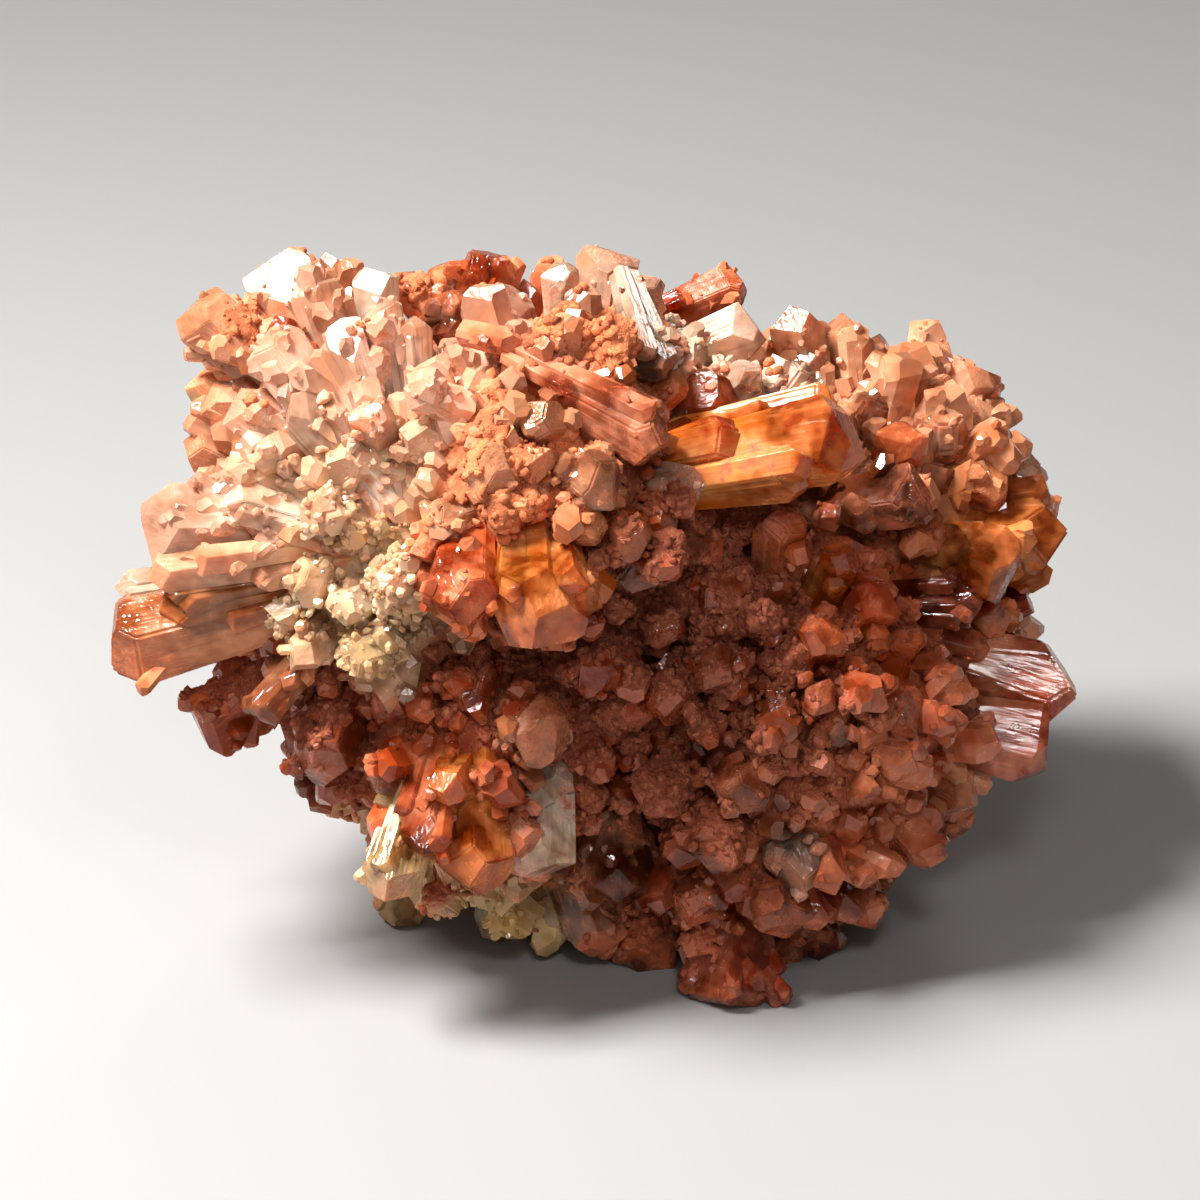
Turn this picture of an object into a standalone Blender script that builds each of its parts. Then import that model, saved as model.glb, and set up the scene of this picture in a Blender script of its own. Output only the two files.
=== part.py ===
"""Creedite crystal cluster: several radiating sprays of stubby prisms, grown together in one piece.

The crystals are set out on the specimen's display face. A place on it is (across, up, near) in
millimetres: across to the right, up in the picture plane, and near towards the viewer, who looks
down on the specimen by SIGHT_TILT from SIGHT_DISTANCE away. spot() turns it into the part's frame.
"""
import math
import random
from collections import namedtuple

import bmesh
import bpy
from mathutils import Matrix, Vector

MM = 0.001
SIGHT_TILT = math.radians(25.0)
SIGHT_DISTANCE = 200.0
FACE_HEIGHT = 15.3  # the display face's middle above the surface that the cluster stands on
BOX_CENTRE = (-0.179, 4.224)  # the cluster's middle in plan, from the display face's middle
TOWARDS_VIEWER = Vector((0, -math.cos(SIGHT_TILT), math.sin(SIGHT_TILT)))
CRYSTAL_COLOUR = (0.80, 0.36, 0.17, 1.0)
CRYSTAL_ROUGHNESS = 0.25
SEED = 11

# Crystal habit: shares of a crystal's width, and angles in degrees.
ROOT_SHARE = 0.62  # width at the root, as a share of the width at the shoulder
SHOULDER = 0.4  # how far below the tip the full width is
FLATNESS = 0.784  # the prism's thickness
PRISM_ANGLES = (0, 57, 123, 180, 237, 303)
FILL_ANGLES = (8, 95, 176, 268)  # the crystals between them are plainer, with four sides
SIDE_WOBBLE = 6  # degrees that a side strays from its angle
SIDE_SHIFT = (0.92, 1.06)  # how far in or out a side lies
END_WOBBLE = 5
END_TURN = 14
BLANK = 3.0  # the block that a crystal is cut from
ROOT_DEPTH = 0.25  # where a crystal starts, from the spray's middle to its tip

# The rough middle of each spray, a sphere with its corners pushed in and out.
LUMP_DETAIL = 2
LUMP_ROUGHNESS = 0.11

Crystal = namedtuple("Crystal", "tip width habit root", defaults=("chisel", None))
Spray = namedtuple("Spray", "name centre core reach fill_width fill_count fill_facing crystals")


def spot(across, up, near):
    """A place on the display face, in millimetres in the part's frame."""
    shrink = 1 - near / SIGHT_DISTANCE
    across, up = across * shrink, up * shrink
    depth = up * math.sin(SIGHT_TILT) - near * math.cos(SIGHT_TILT)
    height = up * math.cos(SIGHT_TILT) + near * math.sin(SIGHT_TILT)
    return Vector((across - BOX_CENTRE[0], depth - BOX_CENTRE[1], height + FACE_HEIGHT))


LEFT_SPRAY = Spray(
    "left", (-8.0, 2.2, -1.0), (7.6, 6.4, 7.6), 10.2, 2.8, 90, 0.35,
    [
        # the prow, low on the left, and the ledges over it
        Crystal((-19.5, -1.9, 3.0), 3.5, "blunt", (-10.0, 0.6, 3.0)),
        Crystal((-17.6, -0.5, 3.8), 2.6, "chisel", (-9.4, 1.0, 3.4)),
        Crystal((-19.4, 0.5, -0.5), 1.3),
        Crystal((-18.2, 2.8, 4.0), 3.5, "blunt", (-8.6, 3.0, 3.6)),
        Crystal((-18.0, 0.9, 4.4), 2.5, "chisel", (-9.0, 2.4, 4.4)),
        Crystal((-16.7, 3.9, 2.6), 1.9, "chisel", (-8.6, 3.4, 2.0)),
        # the notched left skyline
        Crystal((-16.0, 4.9, 1.8), 1.4),
        Crystal((-16.7, 6.4, 0.8), 1.9, "point"),
        Crystal((-16.4, 7.9, 1.0), 1.3),
        Crystal((-16.2, 8.9, 0.0), 1.6, "blunt"),
        Crystal((-16.4, 11.7, 1.6), 2.7, "blunt", (-8.0, 5.0, 0.5)),
        Crystal((-12.9, 13.8, 0.6), 3.0, "blunt", (-9.0, 2.0, 0.0)),
        Crystal((-11.6, 12.8, 3.0), 2.0, "blunt", (-8.2, 3.0, 2.2)),
        Crystal((-13.0, 11.4, 3.8), 1.3, "point"),
        Crystal((-11.0, 13.9, -1.4), 1.6, "chisel"),
        Crystal((-9.0, 13.2, 0.0), 1.9, "blunt"),
        # blades that lie in the broken front of the spray
        Crystal((-13.4, 10.6, 4.8), 2.4, "blunt", (-8.2, 3.6, 5.0)),
        Crystal((-10.4, 11.3, 5.0), 1.5, "blunt", (-8.0, 4.0, 5.2)),
        Crystal((-8.8, 12.1, 3.8), 1.7, "chisel", (-7.4, 4.0, 4.2)),
        Crystal((-7.4, 11.4, 4.2), 1.3, "chisel", (-7.0, 4.0, 4.6)),
        Crystal((-14.6, 8.0, 3.8), 1.9, "blunt", (-8.2, 3.0, 4.2)),
        Crystal((-13.8, 5.6, 5.2), 1.8, "chisel", (-8.0, 2.4, 4.6)),
        Crystal((-12.4, 8.2, 6.0), 1.7, "chisel", (-8.0, 3.0, 5.0)),
        Crystal((-15.0, 4.2, 5.2), 1.9, "chisel", (-8.0, 2.2, 4.8)),
        Crystal((-9.2, 7.6, 7.2), 1.7, "blunt"),
        Crystal((-11.4, 3.6, 7.4), 1.8, "blunt"),
        Crystal((-12.0, 0.6, 6.6), 1.9, "chisel"),
        Crystal((-8.2, 0.6, 8.0), 2.0, "blunt"),
        Crystal((-9.6, -2.8, 6.8), 2.2, "chisel"),
        Crystal((-12.2, -2.6, 5.4), 1.6, "point"),
        # hanging under the ledge
        Crystal((-15.9, -5.4, 0.6), 2.7, "blunt", (-10.0, 0.0, -0.5)),
        Crystal((-13.7, -4.7, 3.8), 1.6, "blunt", (-9.4, 0.4, 2.0)),
        Crystal((-12.4, -6.2, -0.6), 2.0, "chisel"),
        Crystal((-11.3, -8.5, -3.0), 1.1, "blunt", (-8.6, 0.0, -3.0)),
    ],
)

BROW_SPRAY = Spray(
    "brow", (-2.6, 4.4, 2.6), (6.2, 5.4, 5.8), 7.6, 2.3, 60, 1.1,
    [
        Crystal((2.7, 6.2, 8.6), 2.5, "chisel", (-3.6, 9.6, 6.0)),
        Crystal((0.2, 4.8, 10.0), 2.4, "blunt"),
        Crystal((-5.8, -0.7, 10.4), 3.1, "chisel", (-5.4, 4.0, 4.6)),
        Crystal((-2.6, -1.3, 10.6), 3.9, "chisel", (-2.6, 4.4, 4.0)),
        Crystal((-0.5, -0.4, 9.4), 1.7, "point"),
        Crystal((-4.6, 5.2, 9.8), 2.2, "blunt"),
        Crystal((-2.2, 7.6, 9.0), 2.0, "chisel"),
        Crystal((-5.6, 8.6, 7.0), 1.9, "chisel"),
        Crystal((1.6, 2.4, 8.8), 2.0, "blunt"),
        Crystal((-6.6, 3.0, 8.6), 1.8, "chisel"),
        Crystal((4.0, 4.4, 6.6), 1.6, "blunt", (-0.6, 5.6, 4.0)),
        Crystal((2.4, 1.0, 6.2), 2.7, "blunt", (0.0, 4.0, 2.0)),
    ],
)

TOP_SPRAY = Spray(
    "top", (-1.0, 3.2, -3.6), (8.4, 8.2, 8.2), 10.2, 2.8, 90, 1.1,
    [
        Crystal((-8.0, 13.1, -1.2), 1.8, "chisel"),
        Crystal((-6.4, 13.4, -2.0), 1.8, "blunt"),
        Crystal((-5.2, 14.0, -0.8), 2.6, "chisel"),
        Crystal((-6.4, 12.0, 2.4), 2.1, "blunt"),
        Crystal((-4.0, 12.5, 1.8), 2.2, "chisel"),
        Crystal((-3.0, 12.8, -1.8), 1.8, "chisel"),
        Crystal((-1.6, 13.4, 1.0), 1.5, "blunt"),
        Crystal((0.3, 14.0, -1.6), 2.5, "blunt"),
        Crystal((1.8, 12.9, 0.2), 1.8, "blunt"),
        Crystal((-0.6, 11.4, 4.2), 2.0, "chisel"),
        Crystal((2.5, 9.0, 4.8), 1.6, "chisel", (1.0, 13.0, 0.0)),
        Crystal((5.7, 12.7, -4.8), 1.9, "blunt", (0.6, 10.6, -4.4)),
        Crystal((6.3, 10.9, -1.0), 2.3, "blunt", (0.4, 8.6, -2.0)),
        Crystal((5.0, 8.6, 2.6), 2.5, "blunt"),
        Crystal((6.4, 9.3, 1.4), 1.7, "chisel"),
        Crystal((8.6, 9.0, 0.4), 1.8, "chisel", (2.0, 6.0, -2.0)),
        # the big amber prism, lying across the right half
        Crystal((10.1, 6.6, 6.0), 3.7, "blunt", (1.6, 5.0, 3.8)),
        Crystal((9.4, 7.9, 4.0), 1.9, "blunt", (2.6, 6.6, 2.4)),
    ],
)

RIGHT_SPRAY = Spray(
    "right", (10.4, 2.6, -9.0), (7.0, 6.8, 6.8), 8.9, 2.7, 80, 1.1,
    [
        Crystal((7.6, 11.8, -6.2), 2.2, "point"),
        Crystal((9.8, 11.4, -7.0), 2.2, "chisel"),
        Crystal((11.2, 10.6, -8.2), 1.4, "chisel"),
        Crystal((12.6, 9.8, -7.0), 2.7, "blunt"),
        Crystal((15.4, 9.2, -8.2), 2.4, "blunt"),
        Crystal((16.2, 8.0, -8.0), 1.8, "chisel"),
        Crystal((16.9, 6.5, -8.2), 2.0, "chisel"),
        Crystal((17.5, 4.6, -8.0), 1.5, "point"),
        Crystal((18.7, 2.8, -4.6), 3.7, "chisel", (11.0, 2.6, -6.0)),
        Crystal((16.6, 1.4, -2.4), 3.2, "blunt", (10.4, 2.6, -5.0)),
        Crystal((17.4, -0.5, -7.2), 1.4, "point"),
        Crystal((12.2, 6.6, -1.4), 2.1, "blunt"),
        Crystal((10.6, 8.2, -1.8), 1.9, "chisel"),
        Crystal((14.4, 7.2, -2.8), 2.3, "chisel"),
        Crystal((16.0, 4.8, -3.0), 2.1, "blunt"),
        Crystal((13.0, 4.2, 0.4), 2.6, "blunt", (7.0, 3.4, -3.0)),
        Crystal((15.3, -0.1, -1.2), 1.9, "chisel", (8.6, 0.0, -3.6)),
        Crystal((13.8, 9.0, -4.6), 2.0, "chisel"),
    ],
)

LOWER_RIGHT_SPRAY = Spray(
    "lower_right", (6.8, -4.2, -5.4), (8.0, 7.9, 7.8), 9.8, 2.8, 90, 1.1,
    [
        # the two big crystals of the right edge
        Crystal((19.1, -3.7, -4.6), 3.5, "chisel", (9.6, -1.2, -5.4)),
        Crystal((17.9, -5.8, -3.8), 3.4, "blunt", (9.4, -4.0, -4.4)),
        Crystal((15.0, -8.2, -3.0), 2.3, "chisel", (9.0, -4.8, -4.6)),
        Crystal((13.2, -9.2, -4.0), 2.3, "blunt"),
        Crystal((11.5, -10.3, -2.2), 1.7, "chisel"),
        Crystal((10.7, -11.4, -2.2), 1.5, "point"),
        Crystal((10.2, -13.0, -2.4), 1.9, "chisel"),
        Crystal((8.8, -14.5, -4.9), 2.1, "chisel", (7.4, -6.0, -5.0)),
        # the lowest crystal, which it stands on
        Crystal((5.4, -16.4, -1.4), 3.4, "blunt", (5.0, -7.0, -3.6)),
        Crystal((1.6, -14.9, -4.2), 2.6, "blunt", (3.0, -6.0, -4.6)),
        Crystal((7.2, -13.2, 0.2), 2.7, "blunt"),
        Crystal((3.6, -13.0, 0.2), 2.6, "chisel"),
        # stubby crystals of the hollow, coated with iron oxide
        Crystal((7.4, 3.3, 3.6), 1.9, "blunt", (6.6, -2.0, -2.0)),
        Crystal((9.9, 2.0, 3.0), 1.6, "chisel"),
        Crystal((4.8, 0.7, 4.4), 2.2, "blunt"),
        Crystal((9.1, -1.4, 4.0), 1.9, "blunt"),
        Crystal((11.4, 0.2, 2.2), 2.1, "blunt"),
        Crystal((6.6, -0.4, 4.4), 1.6, "chisel"),
        Crystal((12.2, -2.2, 0.8), 1.9, "chisel"),
        Crystal((7.2, -4.4, 4.0), 1.8, "blunt"),
        Crystal((4.4, -2.6, 4.6), 1.9, "blunt"),
        Crystal((2.4, -3.8, 4.6), 1.8, "blunt"),
        Crystal((9.8, -5.0, 3.0), 1.8, "chisel"),
        Crystal((11.4, -7.0, 0.8), 2.3, "chisel"),
        Crystal((12.8, -6.2, -0.6), 2.2, "blunt"),
        Crystal((9.0, -9.2, 1.2), 2.2, "chisel"),
        Crystal((5.6, -7.8, 3.6), 2.4, "blunt"),
        Crystal((4.6, -10.6, 3.0), 2.2, "blunt"),
        Crystal((8.2, -11.4, 1.4), 2.4, "chisel"),
        Crystal((2.0, -8.0, 3.6), 2.2, "blunt"),
    ],
)

LOWER_LEFT_SPRAY = Spray(
    "lower_left", (-4.0, -4.6, -2.6), (6.6, 6.4, 6.6), 8.5, 2.5, 64, 1.1,
    [
        # the hanging group under the brow
        Crystal((-8.6, -12.1, 4.2), 2.4, "point", (-6.6, -5.0, 1.0)),
        Crystal((-5.0, -11.7, 4.6), 3.1, "chisel", (-5.2, -4.0, 1.0)),
        Crystal((-7.0, -10.2, 5.4), 2.1, "chisel", (-5.8, -4.4, 1.8)),
        Crystal((-6.3, -7.7, 6.2), 1.6, "point"),
        Crystal((-8.9, -7.4, 3.4), 1.4, "blunt"),
        Crystal((-2.4, -10.9, 3.4), 2.6, "blunt", (-2.0, -4.0, 0.4)),
        Crystal((-2.2, -5.3, 6.4), 2.8, "blunt"),
        Crystal((0.0, -3.0, 5.8), 2.0, "blunt", (-1.0, -2.0, 0.0)),
        # along the underside, to the surface it stands on
        Crystal((-8.1, -13.1, -7.6), 1.9, "blunt", (-5.0, -5.0, -5.0)),
        Crystal((-6.6, -12.6, -1.6), 1.8, "blunt"),
        Crystal((-4.0, -13.7, -6.4), 2.2, "blunt", (-3.6, -5.0, -4.6)),
        Crystal((-1.6, -13.8, -4.6), 2.0, "chisel"),
        Crystal((0.2, -14.0, -3.2), 2.2, "blunt"),
        Crystal((0.8, -12.2, 1.0), 2.4, "chisel", (0.0, -5.0, -2.0)),
        Crystal((-10.4, -5.0, -4.0), 2.0, "chisel"),
    ],
)

BACK_SPRAY = Spray(
    "back", (-1.4, -0.6, -10.0), (8.2, 8.2, 7.6), 10.3, 3.0, 90, 1.1,
    [
        # feet under the back, off the display side
        Crystal((8.0, -10.1, -13.2), 2.6, "blunt", (4.0, -3.0, -9.6)),
        Crystal((-5.6, -9.5, -14.6), 2.6, "blunt", (-2.0, -3.0, -10.0)),
        Crystal((1.6, -8.8, -16.2), 2.6, "blunt", (0.6, -3.0, -10.6)),
    ],
)

SPRAYS = (
    LEFT_SPRAY,
    BROW_SPRAY,
    TOP_SPRAY,
    RIGHT_SPRAY,
    LOWER_RIGHT_SPRAY,
    LOWER_LEFT_SPRAY,
    BACK_SPRAY,
)

# Fill crystals: how they keep clear of the others and of the display side's outline.
TIP_SPACING = 0.96  # of the width, from any other crystal's tip
CORE_CLEARANCE = 1.08  # of another spray's core, in which a tip would be buried
OUTLINE_SHARE = 0.93  # of the reach, square to the line of sight
DISPLAY_SIDE = 0.3  # facing the viewer by more than this, they are smaller and shorter
DISPLAY_SHARE = 0.74
DISPLAY_REACH = 0.93
FOOT_ROOM = 1.9  # how far fill crystals stay above the surface
FILL_WOBBLE = 0.16  # how far a fill crystal's direction strays
FILL_WIDTHS = (0.75, 1.25)
FILL_REACHES = (0.92, 1.08)
FILL_ROOT = 0.6  # how far out in the core its root is


def clear_scene():
    for old in list(bpy.data.objects):
        bpy.data.objects.remove(old, do_unlink=True)


def material(name, colour, roughness):
    made = bpy.data.materials.new(name)
    made.use_nodes = True
    shader = made.node_tree.nodes["Principled BSDF"]
    shader.inputs["Base Color"].default_value = colour
    shader.inputs["Roughness"].default_value = roughness
    shader.inputs["Metallic"].default_value = 0.0
    return made


def object_of(name, mesh, collection):
    made = bpy.data.objects.new(name, mesh)
    collection.objects.link(made)
    return made


def cut(bm, point, normal):
    """Cuts away what lies past a plane, and closes the cut with one flat face."""
    found = bmesh.ops.bisect_plane(
        bm,
        geom=bm.verts[:] + bm.edges[:] + bm.faces[:],
        plane_co=point,
        plane_no=normal,
        clear_outer=True,
    )
    edges = [item for item in found["geom_cut"] if isinstance(item, bmesh.types.BMEdge)]
    if len(edges) > 2:
        bmesh.ops.contextual_create(bm, geom=edges)


def end_planes(habit, length, width, rng):
    """(point, normal) of each face that ends a crystal, in its own frame."""
    turn = rng.choice((0.0, math.pi))

    def leaning(angle, round_axis, inwards):
        lean = math.radians(angle + rng.uniform(-END_WOBBLE, END_WOBBLE))
        way = turn + math.radians(round_axis + rng.uniform(-END_TURN, END_TURN))
        normal = Vector(
            (math.sin(lean) * math.cos(way), math.sin(lean) * math.sin(way), math.cos(lean))
        )
        return Vector((0, 0, length)) + normal * inwards * width, normal

    if habit == "point":
        return [leaning(52, 20, 0.0), leaning(50, 160, 0.0), leaning(46, 270, 0.0)]
    if habit == "wedge":
        return [leaning(30, 30, 0.0), leaning(48, 200, 0.0)]
    if habit == "stub":
        return [leaning(10, 40, 0.0), leaning(52, 130, 0.2)]
    if habit == "blunt":
        return [leaning(14, 0, 0.0), leaning(55, 75, 0.16), leaning(52, 250, 0.18)]
    return [leaning(34, 10, 0.0), leaning(48, 180, 0.0), leaning(62, 95, 0.14)]


def crystal_mesh(name, root, tip, width, habit, side, angles, rng):
    """One prism with flat faces: sides that spread from root to shoulder, and a faceted end."""
    along = tip - root
    length = along.length
    axis = along.normalized()
    across = (side - axis * side.dot(axis)).normalized()
    bm = bmesh.new()
    bmesh.ops.create_cube(bm, size=1)
    bmesh.ops.scale(bm, vec=(width * BLANK, width * BLANK, length + width), verts=bm.verts)
    bmesh.ops.translate(bm, vec=(0, 0, (length + width) / 2), verts=bm.verts)
    spread = math.atan((1 - ROOT_SHARE) * width / 2 / length)
    for number, angle in enumerate(angles):
        turned = math.radians(angle + rng.uniform(-SIDE_WOBBLE, SIDE_WOBBLE))
        reach = 1.0 if number % 3 == 0 else FLATNESS
        out = Vector((math.cos(turned), math.sin(turned), -math.sin(spread)))
        shoulder = Vector((math.cos(turned), math.sin(turned), 0)) * width / 2 * reach
        shoulder *= rng.uniform(*SIDE_SHIFT)
        cut(bm, shoulder + Vector((0, 0, length - width * SHOULDER)), out)
    for point, normal in end_planes(habit, length, width, rng):
        cut(bm, point, normal)
    mesh = bpy.data.meshes.new(name)
    bm.to_mesh(mesh)
    bm.free()
    turned = Matrix((across, axis.cross(across), axis)).transposed().to_4x4()
    mesh.transform(Matrix.Translation(root) @ turned)
    mesh.transform(Matrix.Scale(MM, 4))
    return mesh


def lump_mesh(spray):
    """The rough middle that a spray's crystals stand on."""
    bm = bmesh.new()
    bmesh.ops.create_icosphere(bm, subdivisions=LUMP_DETAIL, radius=1.0)
    rng = random.Random(f"{spray.name} lump")
    centre = spot(*spray.centre)
    for vert in bm.verts:
        swell = 1 + rng.uniform(-LUMP_ROUGHNESS, LUMP_ROUGHNESS)
        vert.co = (centre + vert.co * Vector(spray.core) * swell) * MM
    mesh = bpy.data.meshes.new(f"{spray.name}_lump")
    bm.to_mesh(mesh)
    bm.free()
    return mesh


def even_directions(count):
    """Directions spread evenly over a sphere, along a golden spiral."""
    golden = math.pi * (3 - math.sqrt(5))
    for number in range(count):
        height = 1 - 2 * (number + 0.5) / count
        radius = math.sqrt(1 - height * height)
        yield Vector((radius * math.cos(golden * number), radius * math.sin(golden * number), height))


def buried(tip, own):
    """True where a tip would be inside another spray's lump."""
    for other in SPRAYS:
        if other is own:
            continue
        away = tip - spot(*other.centre)
        share = math.sqrt(sum((part / size) ** 2 for part, size in zip(away, other.core)))
        if share < CORE_CLEARANCE:
            return True
    return False


def fill_crystals(spray, taken, rng):
    """Crystals by rule over the rest of a spray: (root, tip, width, habit, side, angles)."""
    centre = spot(*spray.centre)
    made = []
    for direction in even_directions(spray.fill_count):
        jitter = Vector([rng.uniform(-FILL_WOBBLE, FILL_WOBBLE) for _ in range(3)])
        direction = (direction + jitter).normalized()
        width = spray.fill_width * rng.uniform(*FILL_WIDTHS)
        facing = direction.dot(TOWARDS_VIEWER)
        reach = spray.reach * rng.uniform(*FILL_REACHES)
        reach *= 1 - (1 - OUTLINE_SHARE) * math.sqrt(max(0.0, 1 - facing * facing))
        if facing > DISPLAY_SIDE:
            width *= DISPLAY_SHARE
            reach *= DISPLAY_REACH
        tip = centre + direction * reach
        habit = rng.choice(("wedge", "stub"))
        side = Vector([rng.uniform(-1, 1) for _ in range(3)])
        if tip.z < FOOT_ROOM or buried(tip, spray) or facing > spray.fill_facing:
            continue
        if any((tip - other).length < TIP_SPACING * width for other in taken):
            continue
        taken.append(tip)
        root = centre + direction * min(spray.core) * FILL_ROOT
        made.append((root, tip, width, habit, side, FILL_ANGLES))
    return made


def all_crystals():
    """Every crystal of the cluster: (root, tip, width, habit, side, angles)."""
    placed = []
    for spray in SPRAYS:
        centre = spot(*spray.centre)
        for crystal in spray.crystals:
            tip = spot(*crystal.tip)
            root = spot(*crystal.root) if crystal.root else centre.lerp(tip, ROOT_DEPTH)
            side = TOWARDS_VIEWER.cross(tip - root)
            placed.append((root, tip, crystal.width, crystal.habit, side, PRISM_ANGLES))
    taken = [tip for _, tip, *_ in placed]
    rng = random.Random(SEED)
    for spray in SPRAYS:
        placed += fill_crystals(spray, taken, rng)
    return placed


def boolean(target, name, operation, **operand):
    modifier = target.modifiers.new(name, "BOOLEAN")
    modifier.operation = operation
    for key, value in operand.items():
        setattr(modifier, key, value)
    return modifier


def hide(obj):
    obj.hide_render = True
    obj.display_type = "WIRE"


def islands(bm):
    """The groups of joined faces in a mesh."""
    left = set(bm.faces)
    while left:
        island, edge_of_it = set(), [left.pop()]
        while edge_of_it:
            face = edge_of_it.pop()
            island.add(face)
            for edge in face.edges:
                for other in edge.link_faces:
                    if other in left:
                        left.remove(other)
                        edge_of_it.append(other)
        yield island


def span(faces):
    places = [vert.co for face in faces for vert in face.verts]
    return sum(max(co[axis] for co in places) - min(co[axis] for co in places) for axis in range(3))


def apply_without_pockets(obj):
    """Applies the modifiers, and fills the pockets that are left where crystals enclose a space."""
    evaluated = obj.evaluated_get(bpy.context.evaluated_depsgraph_get())
    mesh = bpy.data.meshes.new_from_object(evaluated)
    obj.modifiers.clear()
    bm = bmesh.new()
    bm.from_mesh(mesh)
    bm.faces.ensure_lookup_table()
    found = sorted(islands(bm), key=span)
    for pocket in found[:-1]:
        bmesh.ops.delete(bm, geom=list(pocket), context="FACES")
    bm.to_mesh(mesh)
    bm.free()
    obj.data = mesh
    print(f"{obj.name}: {len(found) - 1} pockets filled, {len(mesh.polygons)} faces")


CUTTER_SIDE = 80.0
CUTTER_DEPTH = 10.0


def surface_cutter(collection):
    """A block below the standing surface: it leaves the feet's ends flat and level."""
    mesh = bpy.data.meshes.new("surface_cutter")
    bm = bmesh.new()
    bmesh.ops.create_cube(bm, size=1)
    bmesh.ops.translate(bm, vec=(0, 0, -0.5), verts=bm.verts)
    bmesh.ops.scale(bm, vec=Vector((CUTTER_SIDE, CUTTER_SIDE, CUTTER_DEPTH)) * MM, verts=bm.verts)
    bm.to_mesh(mesh)
    bm.free()
    cutter = object_of("surface_cutter", mesh, collection)
    hide(cutter)
    return cutter


def main():
    clear_scene()
    scene = bpy.context.scene.collection
    grown_on = bpy.data.collections.new("grown_on")
    scene.children.link(grown_on)

    rng = random.Random(SEED)
    cluster = object_of("crystal_cluster", lump_mesh(SPRAYS[0]), scene)
    cluster.data.materials.append(material("creedite", CRYSTAL_COLOUR, CRYSTAL_ROUGHNESS))
    for spray in SPRAYS[1:]:
        hide(object_of(f"{spray.name}_lump", lump_mesh(spray), grown_on))
    for number, crystal in enumerate(all_crystals()):
        mesh = crystal_mesh(f"crystal_{number:03d}", *crystal, rng)
        hide(object_of(mesh.name, mesh, grown_on))
    print(len(grown_on.objects), "pieces grown together")

    boolean(cluster, "grown together", "UNION", operand_type="COLLECTION", collection=grown_on)
    apply_without_pockets(cluster)
    for crystal in list(grown_on.objects):
        bpy.data.objects.remove(crystal, do_unlink=True)
    boolean(cluster, "flat feet", "DIFFERENCE", object=surface_cutter(scene))


main()
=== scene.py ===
# %% [markdown]
# Creedite cluster
#
# A creedite cluster is a handful of radiating sprays of stubby prisms that grew into each other. The
# crystals are see-through to milky, orange to salmon pink from traces of iron, and an earthy
# red-brown iron oxide has grown over and between many of them. The picture is built the way the
# specimen is: first the big prisms, one by one where the display side shows them and by rule
# elsewhere, then the smaller parallel prisms that lean on them, then the druse, which is the carpet
# of tiny crystals in the gaps, and last the oxide crust and its crumbs.

# %% Load the frame
import math
import random
from collections import namedtuple

import bmesh
import bpy
import numpy as np
from mathutils import Matrix, Vector


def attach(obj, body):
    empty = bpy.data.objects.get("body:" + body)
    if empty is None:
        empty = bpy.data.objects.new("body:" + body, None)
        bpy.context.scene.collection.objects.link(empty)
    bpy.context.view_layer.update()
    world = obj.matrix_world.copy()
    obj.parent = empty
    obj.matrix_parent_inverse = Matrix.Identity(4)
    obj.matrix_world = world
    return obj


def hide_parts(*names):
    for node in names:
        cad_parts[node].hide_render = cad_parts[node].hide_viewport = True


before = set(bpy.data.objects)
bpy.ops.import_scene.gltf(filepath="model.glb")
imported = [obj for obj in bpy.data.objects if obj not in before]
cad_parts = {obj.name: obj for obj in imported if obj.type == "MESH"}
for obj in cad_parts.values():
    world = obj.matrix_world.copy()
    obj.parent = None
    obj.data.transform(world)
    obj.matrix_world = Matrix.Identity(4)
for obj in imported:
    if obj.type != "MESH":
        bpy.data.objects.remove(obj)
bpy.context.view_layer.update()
MM = 0.001

# %% [markdown]
# Places on the specimen
#
# Every place is given on the display face, the way a collector would point at it: so far across, so
# far up, and so far towards the viewer, in millimetres. One function turns such a place into the
# model's own X, Y and Z, and the camera looks along the same line of sight, so what is placed on the
# face lands at the same place in the picture.

# %% Places on the display face
SIGHT_TILT = math.radians(25.0)
SIGHT_DISTANCE = 200.0
FACE_HEIGHT = 15.3
BOX_CENTRE = (-0.179, 4.224)
TOWARDS_VIEWER = Vector((0, -math.cos(SIGHT_TILT), math.sin(SIGHT_TILT)))


def spot(across, up, near):
    """A place on the display face, in millimetres in the model's frame."""
    shrink = 1 - near / SIGHT_DISTANCE
    across, up = across * shrink, up * shrink
    depth = up * math.sin(SIGHT_TILT) - near * math.cos(SIGHT_TILT)
    height = up * math.cos(SIGHT_TILT) + near * math.sin(SIGHT_TILT)
    return Vector((across - BOX_CENTRE[0], depth - BOX_CENTRE[1], height + FACE_HEIGHT))


print("middle of the display face, mm:", tuple(round(value, 2) for value in spot(0, 0, 0)))

# %% [markdown]
# Camera
#
# A long macro lens, 200 mm away and 25 degrees above the table. A long lens keeps the far lobe nearly
# as large as the near one, as in the close-up.

# %% Camera
LENS = 150
SENSOR = 36

camera_data = bpy.data.cameras.new("camera")
camera_data.lens = LENS
camera_data.sensor_width = SENSOR
camera_data.clip_start = 0.01
camera = bpy.data.objects.new("camera", camera_data)
bpy.context.scene.collection.objects.link(camera)
camera.location = (spot(0, 0, 0) + TOWARDS_VIEWER * SIGHT_DISTANCE) * MM
camera.rotation_euler = (math.pi / 2 - SIGHT_TILT, 0, 0)
bpy.context.scene.camera = camera

# %% [markdown]
# Colours
#
# Iron stains creedite unevenly: pale yellow where the crystals are fine and sugary, pink to peach in
# the thin blades, amber in the thickest prism, and red-brown at many tips. They are kept as
# a short palette of named colours, and the specimen is described as a list of patches: where each
# patch is, how far it reaches, its colour, and how much of it the oxide coats. A crystal takes the
# colour of the patches round its middle, weighted by distance, unless the list of crystals names one.

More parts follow.
